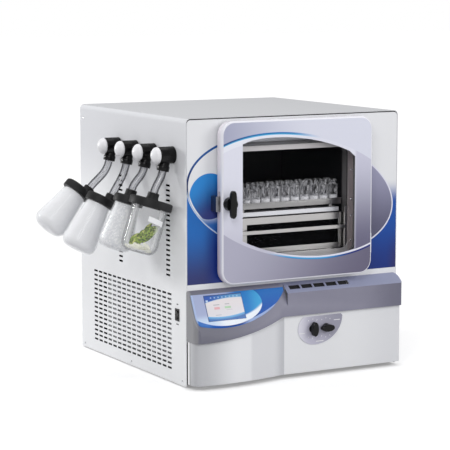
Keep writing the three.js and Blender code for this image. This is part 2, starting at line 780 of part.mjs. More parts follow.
// The vials stand in rows behind the tray's front lip. They are joined to its floor.
function sampleTray() {
  const wall = 1.5;
  const shell = cut(
    box(tray.left, rackFront, tray.bottom, tray.right, tray.back, tray.bottom + trayHeight),
    box(tray.left + wall, rackFront + wall, tray.bottom + wall,
      tray.right - wall, tray.back - wall, tray.bottom + trayHeight + 1));
  const runners = [tray.left + 30, tray.right - 40].map((x) =>
    box(x, rackFront + 6, shelf.top + seat, x + 10, tray.back - 20, tray.bottom + 1));
  const across = Math.floor((tray.right - tray.left - 2 * wall - 1) / vialPitch);
  const spread = (across - 1) * vialPitch;
  const vials = [];
  for (let row = 0; row < vialRows; row += 1) {
    for (let i = 0; i < across; i += 1) {
      const x = (tray.left + tray.right - spread) / 2 + i * vialPitch;
      const y = rackFront + wall + vialRadius + 3 + row * vialPitch;
      vials.push(turned(vialProfile(tray.bottom + wall - 0.5), 8).translate(x, y, 0));
    }
  }
  return joined(shell, ...runners, solid(mergeGeometries(vials)));
}

// ---------------------------------------------------------------- machinery

function collectorVessel() {
  const { x, z, front } = collector;
  const back = front + collectorLength;
  const r = collectorRadius;
  const profile = [
    [0, -back], [r * 0.7, -back + 4], [r, -back + 35], [r, -front - 35], [r * 0.7, -front - 4], [0, -front],
  ];
  const vessel = solid(turned(profile, 20).rotateX(Math.PI / 2).translate(x, 0, z));
  const neck = rodZ(port.x, port.y, portRadius + 3, z + r - 10, chamber.bottom - 15 - seat, 16);
  const saddles = [front + 90, back - 90].map((y) =>
    box(x - 70, y - 10, floorTop + seat, x + 70, y + 10, z - 40));
  const outlet = rodY(pumpPort.x, pumpPort.z, pumpPort.radius, back - 5, cabinetDepth - 60, 16);
  const cavity = rodZ(port.x, port.y, portRadius, z, chamber.bottom, 16);
  return cut(joined(vessel, neck, ...saddles, outlet), cavity);
}

function vacuumPort() {
  const { x, z, radius } = pumpPort;
  const back = cabinetDepth + 22;
  const flange = rodY(x, z, 20, back - 4, back, 16);
  const collar = rodY(x, z, 19, cabinetDepth - 1 + seat, cabinetDepth + 4, 16);
  const pipe = rodY(x, z, radius, cabinetDepth - 60 + seat, back - 1, 16);
  return cut(joined(flange, collar, pipe), rodY(x, z, radius - 2, cabinetDepth - 61, back + 1, 16));
}

function compressor() {
  const r = compressorRadius;
  const low = floorTop + seat;
  const shellBottom = low + 14;
  const seam = shellBottom + 100;
  const top = low + compressorHeight;
  const shell = solid(turned([
    [0, shellBottom], [r * 0.7, shellBottom], [r, shellBottom + 25], [r, seam],
    [r + 5, seam], [r + 5, seam + 12], [r, seam + 12],
    [r * 0.92, top - 30], [r * 0.6, top - 5], [0, top],
  ], 16));
  const plate = box(-r, -r, low + 8, r, r, shellBottom + 4);
  const grommets = [[-1, -1], [1, -1], [-1, 1], [1, 1]].map(([sx, sy]) =>
    rodZ(sx * (r - 14), sy * (r - 14), 12, low, low + 10, 8));
  const pipe = rodX(0, top - 60, 6, 0, r + 30, 8);
  return joined(shell, plate, ...grommets, pipe);
}

const condenser = { x0: 16, x1: 56, y0: 120, z0: floorTop + seat, z1: 250 };
condenser.y1 = Math.min(condenser.y0 + condenserFins * condenserPitch, cabinetDepth - 120);

// A finned block with grooves between its fins, and the tube ends along one side.
function condenserBlock() {
  const { x0, x1, y0, y1, z0, z1 } = condenser;
  const grooves = [];
  for (let y = y0 + 8; y < y1 - condenserPitch; y += condenserPitch) {
    grooves.push([x0 - 1, y, z0 + 10, x0 + 14, y + condenserPitch - 2, z1 - 6]);
    grooves.push([x1 - 14, y, z0 + 10, x1 + 1, y + condenserPitch - 2, z1 - 6]);
  }
  const tubes = [0, 1, 2, 3].map((i) => rodY((x0 + x1) / 2, z0 + 40 + i * 50, 6, y0 - 10, y0 + 2, 8));
  return joined(cut(box(x0, y0, z0, x1, y1, z1), boxes(grooves)), ...tubes);
}

const fan = { x: condenser.x1 + 34, y: (condenser.y0 + condenser.y1) / 2, z: 140 };

// The hub turns on the motor's shaft along X; the blades are pitched plates.
function coolingFan() {
  const hub = rodX(0, 0, 24, -10, 10, 20);
  const blades = Array.from({ length: fanBlades }, (_, i) => {
    const blade = new THREE.BoxGeometry(3, 52, fanRadius - 20);
    blade.rotateZ(28 * degrees);
    blade.translate(0, 0, 20 + (fanRadius - 20) / 2);
    return solid(blade.rotateX((i * 2 * Math.PI) / fanBlades));
  });
  const bore = rodX(0, 0, 5 + seat, -6, 11, 16);
  return cut(joined(hub, ...blades), bore);
}

function fanMotor() {
  const motor = rodX(fan.y, fan.z, 34, fan.x + 16, fan.x + 70, 20);
  const shaft = rodX(fan.y, fan.z, 5, fan.x - 5, fan.x + 18, 12);
  const post = box(fan.x + 30, fan.y - 25, floorTop + seat, fan.x + 50, fan.y + 25, fan.z - 10);
  const shoe = box(fan.x + 18, fan.y - 45, floorTop + seat, fan.x + 64, fan.y + 45, floorTop + seat + 4);
  return joined(motor, shaft, post, shoe);
}

function controlBox() {
  const x1 = cabinetWidth - 14;
  const x0 = Math.max(x1 - 90, collector.x + collectorRadius + 12);
  const front = 60;
  const top = 240;
  const ribPitch = 26;
  const housing = box(x0, front, floorTop + seat, x1, front + 270, top);
  const ribs = Array.from({ length: 9 }, (_, i) => {
    const y = front + 30 + i * ribPitch;
    return [x0 - 1, y, front, x0 + 4, y + 8, top - 20];
  });
  return cut(housing, boxes(ribs));
}

function powerInlet() {
  const { x0, x1, z0, z1 } = inletCut;
  const back = cabinetDepth - 1;
  const body = box(x0 + seat, back - 32, z0 + seat, x1 - seat, back + 1, z1 - seat);
  const lip = box(x0 - 6, back + seat, z0 - 4, x1 + 6, back + 3, z1 + 4);
  const socket = box(x0 + 6, back - 22, z0 + 5, x1 - 6, back + 4, z1 - 5);
  const [x, z] = [(x0 + x1) / 2, (z0 + z1) / 2];
  const pinPitch = 12;
  const pins = [x - pinPitch, x, x + pinPitch].map((pin) =>
    [pin - 1, back - 23, z - 3, pin + 1, back - 4, z + 3]);
  return joined(cut(joined(body, lip), socket), boxes(pins));
}

// ---------------------------------------------------------------- power switch

function switchFrame() {
  const { y0, y1, z0, z1 } = switchCut;
  const lip = box(-2.5, y0 - 3, z0 - 3, -seat, y1 + 3, z1 + 3);
  const body = box(-1, y0 + seat, z0 + seat, 22, y1 - seat, z1 - seat);
  const well = box(-4, y0 + 2, z0 + 2, 14, y1 - 2, z1 - 2);
  const pivots = rodY(4, (z0 + z1) / 2, 2 + seat, y0 + 1, y1 - 1, 12);
  return cut(joined(lip, body), well, pivots);
}

// Rocks about Y on two short pins in the frame's sides.
function rocker() {
  const { y0, y1, z0, z1 } = switchCut;
  const middle = (z0 + z1) / 2;
  const half = (z1 - z0) / 2 - 3;
  const profile = [[-9, -half], [-6, 0], [-9, half], [0, half - 1], [6, 3], [6, -3], [0, -half + 1]];
  const cap = alongY(profile.map(([x, z]) => [x + 4, z + middle]), y0 + 2 + seat, y1 - 2 - seat);
  return joined(cap, rodY(4, middle, 2, y0 + 1 + seat, y1 - 1 - seat, 12));
}

// ---------------------------------------------------------------- manifold

// Along -X from the cabinet's side, with a spout down: sockets for the tube and the knob's shaft.
function valveBody() {
  const barrel = solid(turned([
    [0, seat], [valveRadius, seat], [valveRadius, valveLength - 3],
    [valveRadius - 3, valveLength], [0, valveLength],
  ], 16).rotateY(-Math.PI / 2));
  const spout = solid(turned([
    [0, -spoutDrop], [18, -spoutDrop], [18, -spoutDrop + 14], [15.5, -spoutDrop + 17], [15.5, 7], [0, 7],
  ], 12).rotateY(spoutLean * degrees).translate(-spoutReach, 0, 0));
  const stub = rodX(0, 0, stubRadius, -seat - 1, 10, 12);
  const socket = rodZ(0, 0, tubeRadius + 2 * seat, -spoutDrop - 1, -spoutDrop + tubeGrip + seat, 12)
    .rotate([0, spoutLean, 0]).translate([-spoutReach, 0, 0]);
  const keyway = rodX(0, 0, 4 + 2 * seat, -valveLength - 1, -valveLength + 14, 12);
  return cut(joined(barrel, spout, stub), socket, keyway);
}

function valveKnob() {
  const face = valveLength + seat;
  const profile = [
    [0, face], [22, face], [valveRadius, face + 5], [valveRadius - 1, face + capLength * 0.6],
    [valveRadius - 8, face + capLength * 0.9], [0, face + capLength],
  ];
  const cap = solid(turned(profile, 18).rotateY(-Math.PI / 2));
  const nub = solid(new THREE.BoxGeometry(9, 8, 10).translate(-face - 6.5, 25, 0));
  const shaft = rodX(0, 0, 4, -face - 1, -valveLength + 12, 12);
  return joined(cap, nub, shaft);
}

function manifoldHeader() {
  const x = 28;
  const first = valveY(0) - 35;
  const last = valveY(valveCount - 1) + 35;
  const r = 15;
  const stubs = Array.from({ length: valveCount }, (_, i) =>
    rodX(valveY(i), valveAxisZ, stubRadius, 10 + seat, x, 10));
  const branchY = valveY(Math.floor(valveCount / 2)) - valvePitch / 2;
  const branch = rodX(branchY, valveAxisZ - 40, r, x, chamber.left - chamberWall - seat, 10);
  const down = rodZ(x, branchY, r, valveAxisZ - 40 - r, valveAxisZ, 10);
  return joined(rodY(x, valveAxisZ, r, first, last, 12), ...stubs, branch, down);
}

// Where a flask's lid port is, in the X-Z plane through its valve, from the valve axis.
function flaskPlace(flask) {
  const lean = flask.lean * degrees;
  const axis = new THREE.Vector3(Math.sin(lean), 0, Math.cos(lean));
  const across = new THREE.Vector3(Math.cos(lean), 0, -Math.sin(lean));
  const centre = new THREE.Vector3(-flask.reach, 0, -flask.drop);
  const top = centre.clone()
    .addScaledVector(axis, lidHeight / 2 + collarHeight)
    .addScaledVector(across, flask.portOffset);
  return { lean, axis, centre, top };
}

// A bent clear tube from inside the spout to inside the lid's collar.
function adapterTube(flask) {
  const { axis, top } = flaskPlace(flask);
  const lean = spoutLean * degrees;
  const outward = new THREE.Vector3(-Math.sin(lean), 0, -Math.cos(lean));
  const root = new THREE.Vector3(-spoutReach, 0, 0);
  const start = root.clone().addScaledVector(outward, spoutDrop - tubeGrip);
  const mouth = root.clone().addScaledVector(outward, spoutDrop + 2);
  const entry = top.clone().addScaledVector(axis, 2);
  const end = top.clone().addScaledVector(axis, -tubeGrip);
  const pull = mouth.distanceTo(entry) * 0.4;
  const path = new THREE.CurvePath();
  path.add(new THREE.LineCurve3(start, mouth));
  path.add(new THREE.CubicBezierCurve3(mouth, mouth.clone().addScaledVector(outward, pull),
    entry.clone().addScaledVector(axis, pull), entry));
  path.add(new THREE.LineCurve3(entry, end));
  const ring = new THREE.Shape().absarc(0, 0, tubeRadius, 0, 2 * Math.PI);
  ring.holes.push(new THREE.Path().absarc(0, 0, tubeRadius - tubeWall, 0, 2 * Math.PI));
  const steps = Math.round(path.getLength() / tubeGrip);
  return solid(new THREE.ExtrudeGeometry(ring, { steps, curveSegments: 5, extrudePath: path }));
}

// Lid in its own frame: z = 0 is the middle of its skirt, the flask hangs below.
function flaskLid({ lidRadius, mouth, portOffset }) {
  const half = lidHeight / 2;
  const shell = solid(turned([
    [0, half - lidTop], [mouth + seat, half - lidTop], [mouth + seat, -half], [lidRadius - 1, -half],
    [lidRadius, -half + 2], [lidRadius, half - 4], [lidRadius - 3, half], [0, half],
  ], 16));
  const collar = solid(turned([
    [0, half - 2], [tubeRadius + 7, half - 2], [tubeRadius + 5, half + 6],
    [tubeRadius + 5, half + collarHeight], [0, half + collarHeight],
  ], 12).translate(portOffset, 0, 0));
  const floor = half + collarHeight - tubeGrip - seat;
  const socket = rodZ(portOffset, 0, tubeRadius + 2 * seat, floor, half + collarHeight + 1, 12);
  const passage = rodZ(portOffset, 0, tubeRadius - tubeWall, -half - 1, floor + 1, 12);
  return cut(joined(shell, collar), socket, passage);
}

function flaskGlass({ mouth, base, length }) {
  const rim = lidHeight / 2 - lidTop - seat;
  const bottom = -length;
  const fillet = 26;
  const foot = base - fillet;
  const floor = (inset) => arc(foot, bottom + fillet, fillet - inset, -90, 0, 3);
  const shoulder = -lidHeight / 2 - 4;
  const outside = [[0, bottom + 3], [foot * 0.5, bottom + 3], [foot * 0.6, bottom], ...floor(0),
    [mouth, shoulder], [mouth, rim]];
  const inside = [[mouth - flaskWall, rim], [mouth - flaskWall, shoulder],
    ...floor(flaskWall).reverse(), [0, bottom + 3 + flaskWall]];
  return solid(turned([...outside, ...inside], 16));
}

// ---------------------------------------------------------------- assembly

add('base_pan', basePan(), paint());
add('cabinet_wrapper', cabinetWrapper(), paint());
add('rear_panel', rearPanel(), paint());
add('front_panel', frontPanel(), paint());
add('console_bezel', consoleBezel(), consolePlastic());
add('lower_front_panel', lowerFrontPanel(), paint());
add('screen_lens', screenLens(), finish('#3c78c0', 0.2));
add('touch_screen', touchScreen(), finish('#dfe6ee', 0.15));
add('knob_plate', knobPlate(), finish('#8d8ea4', 0.45));
add('drain_knob', barKnob(), blackPlastic()).position.set(knobXs[0], 0, knobZ);
const vacuumKnob = add('vacuum_release_knob', barKnob(), blackPlastic());
vacuumKnob.position.set(knobXs[1], 0, knobZ);
vacuumKnob.rotation.y = Math.PI / 2;
footSpots.forEach(([name, x, y]) => add(name, foot(), blackPlastic()).position.set(x, y, -footDrop));

add('vacuum_chamber', vacuumChamber(), stainless());
add('door_gasket', doorGasket(), blackPlastic());
add('door', door(), clear('#c9cbdc', 0.1, 0.6));
const hingeSpots = [['lower', doorBottom + hingeInset], ['upper', doorTop - hingeInset - hingeLength]];
hingeSpots.forEach(([level, z]) => {
  add(`${level}_hinge_bracket`, hingeBracket(), chrome()).position.set(hingeX, hingeY, z);
  add(`${level}_hinge_leaf`, hingeLeaf(), chrome()).position.set(hingeX, hingeY, z);
});
add('latch_arm', latchArm(), chrome()).position.set(latch.x, 0, latch.z);
add('latch_knob', latchKnob(), blackPlastic()).position.set(latch.x, 0, latch.z);
add('latch_keeper', latchKeeper(), chrome());

add('tray_rack', trayRack(), stainless());
add('rack_crossbar', rackCrossbar(), stainless());
add('heated_shelf', heatedShelf(), finish('#d8d9db', 0.4, 1));
add('sample_tray', sampleTray(), stainless());

add('collector', collectorVessel(), stainless());
add('vacuum_port', vacuumPort(), stainless());
add('compressor', compressor(), finish('#1d1e20', 0.6)).position.set(260, cabinetDepth - 220, 0);
add('condenser', condenserBlock(), finish('#b9babd', 0.4, 1));
add('fan_motor', fanMotor(), finish('#2a2b2d', 0.6));
add('cooling_fan', coolingFan(), finish('#303134', 0.55)).position.set(fan.x, fan.y, fan.z);
add('control_box', controlBox(), paint());
add('power_inlet', powerInlet(), blackPlastic());
add('switch_frame', switchFrame(), blackPlastic());
add('power_rocker', rocker(), blackPlastic());

add('manifold_header', manifoldHeader(), stainless());
for (let i = 0; i < valveCount; i += 1) {
  const flask = flasks[i % flasks.length];
  const station = new THREE.Group();
  station.position.set(0, valveY(i), valveAxisZ);
  model.add(station);
  const number = i + 1;
  add(`valve_body_${number}`, valveBody(), blackPlastic(), station);
  add(`valve_knob_${number}`, valveKnob(), whitePlastic(), station);
  add(`adapter_tube_${number}`, adapterTube(flask), clear('#e6e8ea', 0.05, 0.4), station);
  const { lean, centre } = flaskPlace(flask);
  const hanging = new THREE.Group();
  hanging.position.copy(centre);
  hanging.rotation.y = lean;
  station.add(hanging);
  add(`flask_lid_${number}`, flaskLid(flask), blackPlastic(), hanging);
  add(`flask_${number}`, flaskGlass(flask), clear('#eef0f1', 0.25, 0.5), hanging);
}

// Put the origin under the middle of the whole object, at bench level.
model.updateMatrixWorld(true);
const bounds = new THREE.Box3().setFromObject(model, true);
const middle = bounds.getCenter(new THREE.Vector3());
const group = new THREE.Group();
model.position.set(-middle.x, -middle.y, -bounds.min.z);
group.add(model);

export default group;
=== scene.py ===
"""The looks of a benchtop freeze dryer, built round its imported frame: paints, prints, steel,
clear plastic and glass, and the small pieces that the frame leaves out. Metres, +Z up."""

import json
import math
import random

import bpy
from mathutils import Matrix, Vector

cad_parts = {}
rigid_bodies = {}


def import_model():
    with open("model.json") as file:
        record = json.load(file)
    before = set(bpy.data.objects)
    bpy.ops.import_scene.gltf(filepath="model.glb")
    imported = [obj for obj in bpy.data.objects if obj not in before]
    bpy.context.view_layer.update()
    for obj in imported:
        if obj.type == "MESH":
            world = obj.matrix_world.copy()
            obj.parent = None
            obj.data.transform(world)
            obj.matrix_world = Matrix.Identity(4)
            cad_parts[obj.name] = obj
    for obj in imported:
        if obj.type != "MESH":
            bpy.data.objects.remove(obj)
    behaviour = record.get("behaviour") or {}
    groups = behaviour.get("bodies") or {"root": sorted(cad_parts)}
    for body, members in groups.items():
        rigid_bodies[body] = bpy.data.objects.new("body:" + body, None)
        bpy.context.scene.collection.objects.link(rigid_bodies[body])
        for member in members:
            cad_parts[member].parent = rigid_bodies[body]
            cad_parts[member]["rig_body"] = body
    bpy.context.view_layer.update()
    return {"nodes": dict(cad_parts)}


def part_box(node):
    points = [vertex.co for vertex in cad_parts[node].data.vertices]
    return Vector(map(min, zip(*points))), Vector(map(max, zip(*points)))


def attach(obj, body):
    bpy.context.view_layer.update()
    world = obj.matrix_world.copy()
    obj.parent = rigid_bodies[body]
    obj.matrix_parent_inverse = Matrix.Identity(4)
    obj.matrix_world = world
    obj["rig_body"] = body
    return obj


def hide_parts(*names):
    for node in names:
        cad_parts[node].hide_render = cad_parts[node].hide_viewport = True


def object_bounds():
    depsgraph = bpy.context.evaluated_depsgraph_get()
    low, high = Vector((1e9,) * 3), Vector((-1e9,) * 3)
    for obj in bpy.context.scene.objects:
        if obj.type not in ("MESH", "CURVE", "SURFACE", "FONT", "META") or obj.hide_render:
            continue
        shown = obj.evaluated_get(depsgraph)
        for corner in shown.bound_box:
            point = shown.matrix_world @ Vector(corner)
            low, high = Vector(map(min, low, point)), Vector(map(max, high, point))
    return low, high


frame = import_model()

# ---------------------------------------------------------------- sizes, in millimetres

MM = 0.001
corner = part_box("cabinet_wrapper")[0]      # the cabinet's lower left front corner

CABINET_WIDTH = 732
CABINET_DEPTH = 720
CABINET_HEIGHT = 783
WRAPPER_BEND = 14
DOOR_FRONT = -40
DOOR_BACK = -8
DOOR = {"left": 97, "right": 614, "bottom": 297, "top": 773, "corner": 41}
WINDOW = {"left": 165, "right": 552}
# the trim oval that runs over the door and the panel round it
OVAL = {"x": 358.7, "z": 541.8, "half_length": 359.7, "half_height": 181.6, "fall": math.radians(9.53)}
WINDOW_SHARE = 0.952                       # the window's arcs against the trim oval
LENS_LEAN = math.radians(26)
LENS_TOP = (-8, 276)                       # y and z of the lens face's upper edge
SCREEN = {"left": 48, "width": 125, "from_top": 10, "height": 79}
LATCH = (120, 535)                         # x and z of the latch's shaft
KNOBS = (412, 458)                         # x of the two knobs on the lower panel
KNOB_Z = 141
PLATE_FACE = -31.6
TRAY = {"left": 168, "right": 543, "front": 20, "back": 270, "bottom": 505.3, "height": 19}
TRAY_SHEET = 1.5
VIAL_RADIUS = 15.5
VIAL_HEIGHT = 73
VIAL_PITCH = 33.7
VIALS_ACROSS = 11
VALVE_AXIS_Z = 673
FIRST_VALVE_Y = 80
VALVE_PITCH = 120
VALVE_RADIUS = 25
VALVE_LENGTH = 47
CAP_LENGTH = 21
SPOUT_REACH = 22
SPOUT_LEAN = math.radians(14)
SPOUT_DROP = 47
TUBE_RADIUS = 12
TUBE_GRIP = 15
LID_HEIGHT = 24
COLLAR_HEIGHT = 20
FLASK_WALL = 2.6
FLASK_FILLET = 26                          # the rounding between a flask's bottom and its side
FLASK_FLOOR = 3                            # how far the middle of a flask's bottom is pushed in
FLASK_SHOULDER = -LID_HEIGHT / 2 - 4       # where its side ends, down from the lid's middle
# from front to back: lid radius, mouth, base and length of the flask, how it leans and hangs
FLASKS = [
    {"lid": 64, "mouth": 54, "base": 54, "length": 147, "lean": 18, "reach": 72, "drop": 138, "port": 0},
    {"lid": 45, "mouth": 38, "base": 52, "length": 152, "lean": 20, "reach": 85, "drop": 140, "port": 0},
    {"lid": 45, "mouth": 38, "base": 54, "length": 165, "lean": 30, "reach": 120, "drop": 151, "port": 27},
    {"lid": 45, "mouth": 38, "base": 53, "length": 154, "lean": 43, "reach": 140, "drop": 131, "port": 27},
]


def at(x, y, z):
    """A point in millimetres from the cabinet's lower left front corner, in the frame's metres."""
    return corner + Vector((x, y, z)) * MM


def tint(red, green, blue):
    """A colour given as a screen shows it, from 0 to 255, as the renderer wants it."""
    def linear(level):
        level /= 255
        return level / 12.92 if level <= 0.04045 else ((level + 0.055) / 1.055) ** 2.4
    return (linear(red), linear(green), linear(blue), 1)


# ---------------------------------------------------------------- finishes: how they are wired

class Field:
    """A number that varies over a surface, with the usual signs between it and others."""

    def __init__(self, look, socket):
        self.look = look
        self.socket = socket

    def __add__(self, other):
        return self.look.math("ADD", self, other)

    def __radd__(self, other):
        return self.look.math("ADD", other, self)

    def __sub__(self, other):
        return self.look.math("SUBTRACT", self, other)

    def __rsub__(self, other):
        return self.look.math("SUBTRACT", other, self)

    def __mul__(self, other):
        return self.look.math("MULTIPLY", self, other)

    def __truediv__(self, other):
        return self.look.math("DIVIDE", self, other)

    def rise(self, low, high):
        """0 under low, 1 over high, smooth between; the other way round if high is the smaller."""
        ends = (low, high, 0, 1) if low < high else (high, low, 1, 0)
        span = self.look.node("ShaderNodeMapRange", interpolation_type="SMOOTHSTEP")
        for socket, value in zip(span.inputs, (self, *ends)):
            self.look.wire(value, socket)
        return Field(self.look, span.outputs["Result"])

    def within(self, low, high, soft=0.4):
        """1 from low to high and 0 outside."""
        return self.rise(low - soft, low + soft) * self.rise(high + soft, high - soft)


class Look:
    """A finish: a Principled material, and short calls that wire nodes to it."""

    def __init__(self, name, colour=(0.8, 0.8, 0.8, 1), roughness=0.5, metallic=0.0, **sockets):
        self.material = bpy.data.materials.new(name)
        self.material.use_nodes = True
        self.tree = self.material.node_tree
        self.shader = self.tree.nodes["Principled BSDF"]
        self.output = self.tree.nodes["Material Output"]
        self.position = self.node("ShaderNodeTexCoord").outputs["Object"]
        self.set("Base Color", colour)
        self.set("Roughness", roughness)
        self.set("Metallic", metallic)
        for socket, value in sockets.items():
            self.set(socket.replace("_", " "), value)

    def node(self, kind, **settings):
        made = self.tree.nodes.new(kind)
        for key, value in settings.items():
            setattr(made, key, value)
        return made

    def wire(self, value, socket):
        value = value.socket if isinstance(value, Field) else value
        if isinstance(value, bpy.types.NodeSocket):
            self.tree.links.new(value, socket)
        else:
            socket.default_value = value

    def set(self, name, value):
        self.wire(value, self.shader.inputs[name])

    def math(self, operation, *values):
        made = self.node("ShaderNodeMath", operation=operation)
        for value, socket in zip(values, made.inputs):
            self.wire(value, socket)
        return Field(self, made.outputs[0])

    def root(self, value):
        return self.math("SQRT", value)

    def least(self, *values):
        return self.math("MINIMUM", *values)

    def most(self, *values):
        return self.math("MAXIMUM", *values)

    def millimetres(self):
        """x, y and z from the cabinet's lower left front corner."""
        moved = self.node("ShaderNodeVectorMath", operation="SUBTRACT")
        self.wire(self.position, moved.inputs[0])
        self.wire(corner, moved.inputs[1])
        scaled = self.node("ShaderNodeVectorMath", operation="SCALE")
        self.wire(moved.outputs[0], scaled.inputs[0])
        self.wire(1 / MM, scaled.inputs["Scale"])
        apart = self.node("ShaderNodeSeparateXYZ")
        self.wire(scaled.outputs[0], apart.inputs[0])
        return [Field(self, socket) for socket in apart.outputs]

    def noise(self, grain, detail=2.0, stretch=(1, 1, 1)):
        """Soft random patches about grain millimetres across, longer where stretch is over 1."""
        placed = self.node("ShaderNodeMapping")
        self.wire(self.position, placed.inputs["Vector"])
        placed.inputs["Scale"].default_value = [1 / (grain * MM * share) for share in stretch]
        made = self.node("ShaderNodeTexNoise")
        self.wire(placed.outputs[0], made.inputs["Vector"])
        self.wire(1.0, made.inputs["Scale"])
        self.wire(detail, made.inputs["Detail"])
        return Field(self, made.outputs[0])

    def cells(self, grain, feature="F1"):
        """Distance from the middles of cells about grain millimetres across."""
        made = self.node("ShaderNodeTexVoronoi", feature=feature)
        self.wire(self.position, made.inputs["Vector"])
        self.wire(1 / (grain * MM), made.inputs["Scale"])
        return Field(self, made.outputs["Distance"])

    def mix(self, share, first, second):
        """first where share is 0, second where it is 1."""
        made = self.node("ShaderNodeMix", data_type="RGBA")
        for socket, value in zip((made.inputs[0], made.inputs[6], made.inputs[7]), (share, first, second)):
            self.wire(value, socket)
        return made.outputs[2]

    def bump(self, height, depth, strength=1.0):
        """Raises the surface by height, from 0 to 1, times depth in millimetres."""
        made = self.node("ShaderNodeBump")
        self.wire(height, made.inputs["Height"])
        self.wire(depth * MM, made.inputs["Distance"])
        self.wire(strength, made.inputs["Strength"])
        self.set("Normal", made.outputs[0])

    def from_oval(self, x, z):
        """Millimetres outside the trim oval, negative inside."""
        dx = x - OVAL["x"]
        dz = z - OVAL["z"]
        cosine, sine = math.cos(OVAL["fall"]), math.sin(OVAL["fall"])
        along = (dx * cosine - dz * sine) / OVAL["half_length"]
        across = (dx * sine + dz * cosine) / OVAL["half_height"]
        radius = self.root(along * along + across * across)
        steep_along = along / OVAL["half_length"]
        steep_across = across / OVAL["half_height"]
        slope = self.root(steep_along * steep_along + steep_across * steep_across)
        return (radius - 1) * radius / slope


def varied(look, colour, share, grain=140.0):
    """The colour with broad soft patches, darker or lighter by a small share."""
    low = tuple(level * (1 - share) for level in colour[:3]) + (1,)
    high = tuple(min(1, level * (1 + share)) for level in colour[:3]) + (1,)
    return look.mix(look.noise(grain), low, high)


# ---------------------------------------------------------------- finishes

WHITE_PAINT = tint(232, 233, 236)
# painted shade on the hidden inner sides and backs of the sheet metal
PAINTED_INNER_SHADE = tint(22, 22, 24)


def cabinet_paint():
    """White outside, lighter low down and greyer towards the top as painted light, with painted shade on the
    top face; the inner sides are painted dark as shade.
    """
    look = Look("cabinet_paint", roughness=0.42, Specular_IOR_Level=0.08)
    x, y, z = look.millimetres()
    # how far out the skin lies, measured round its top bends
    across = look.most(look.most(WRAPPER_BEND - x, x - (CABINET_WIDTH - WRAPPER_BEND)), 0)
    up = look.most(z - (CABINET_HEIGHT - WRAPPER_BEND), 0)
    outward = look.root(across * across + up * up)
    # the painted shade stops short of the sheet's front, rear and bottom edges
    under_skin = outward.rise(WRAPPER_BEND - 0.15, WRAPPER_BEND - 0.3)
    inside = under_skin * y.within(4, 718.7, 0.1) * z.rise(1.2, 1.4)
    # painted light: lighter low down, greyer towards the top
    paint_and_shade = look.mix(z.rise(430, 700), varied(look, tint(246, 247, 249), 0.015), tint(218, 219, 223))
    # painted shade on the top face
    on_top = z.rise(CABINET_HEIGHT - 3, CABINET_HEIGHT - 1)
    paint_and_shade = look.mix(on_top, paint_and_shade, tint(200, 201, 204))
    look.set("Base Color", look.mix(inside, paint_and_shade, PAINTED_INNER_SHADE))
    look.set("Roughness", 0.36 + look.noise(60) * 0.12 + on_top * 0.45)
    look.bump(look.noise(1.6), 0.03, 0.5)
    return look.material


def front_print():
    """The front panel's paint, with its blue fields outside the oval and a crescent in it."""
    look = Look("front_print", roughness=0.34, Specular_IOR_Level=0.3)
    x, y, z = look.millimetres()
    away = look.from_oval(x, z)
    on_face = y.rise(0.6, 0.3)

    # white paint on the face, painted shade on the back
    paint_and_shade = look.mix(y.rise(1.4, 1.6), varied(look, WHITE_PAINT, 0.015), PAINTED_INNER_SHADE)

    # the fields outside the oval, lit from the upper inner side and deep towards the bottom
    left_blue = look.mix(z.rise(300, 470), tint(46, 52, 108), tint(26, 104, 184))
    left_blue = look.mix(x.rise(50, 105) * z.rise(560, 380), left_blue, tint(30, 52, 132))
    right_blue = look.mix(z.rise(300, 480), tint(6, 42, 122), tint(6, 76, 164))
    right_blue = look.mix(x.rise(690, 735) * z.rise(430, 300), right_blue, tint(38, 40, 100))
    blue = look.mix(x.rise(340, 380), left_blue, right_blue)
    left_field = z.rise(596, 548) * x.rise(351, 350) * x.rise(3.2, 4.2)
    right_field = z.rise(575, 500) * x.rise(350, 351) * x.rise(731, 729) * z.rise(299.5, 300.5)
    field = away.rise(1.6, 2.6) * (left_field * z.rise(299.5, 300.5) + right_field)
    colour = look.mix(field, paint_and_shade, blue)

    # inside the oval: white on the left, a grey lilac veil on the right
    veil = away.rise(-1.2, -2.2) * x.rise(600, 610)
    lilac = look.mix(z.rise(640, 400), tint(158, 158, 184), tint(88, 87, 112))
    colour = look.mix(veil, colour, lilac)

    # the field goes on inside the oval under its left end
    on_left = x.rise(340, 330)
    under = away.rise(-1, -2) * z.rise(512, 470) * on_left
    colour = look.mix(under, colour, look.mix(z.rise(420, 500), tint(40, 70, 150), tint(44, 110, 186)))

    # a plain disc that fills the left end of the oval, deep at its lower right
    disc_x, disc_z = 78, 555
    from_disc = look.root((x - disc_x) * (x - disc_x) + (z - disc_z) * (z - disc_z))
    disc = from_disc.rise(68, 66.5) * away.rise(-5, -6.5) * on_left
    disc_blue = look.mix((x * 0.6 - z * 0.9 + 480).rise(-30, 75), tint(36, 132, 208), tint(44, 56, 124))
    colour = look.mix(disc, colour, disc_blue)

    # the line itself: navy over the upper left, pale all the way down and on the right
    navy = away.within(-4.4, 2.2) * z.rise(540, 580) * on_left
    colour = look.mix(navy, colour, look.mix(z.rise(580, 690), tint(24, 36, 84), tint(14, 84, 156)))
    pale_left = away.within(-1.8, 0.6) * z.rise(584, 550) * on_left
    colour = look.mix(pale_left, colour, tint(150, 184, 226))
    pale_right = away.within(-2.2, 1.8) * x.rise(360, 370)
    colour = look.mix(pale_right, colour, tint(226, 226, 240))

    look.set("Base Color", look.mix(on_face, paint_and_shade, colour))
    look.bump(look.noise(1.6), 0.03, 0.35)
    return look.material


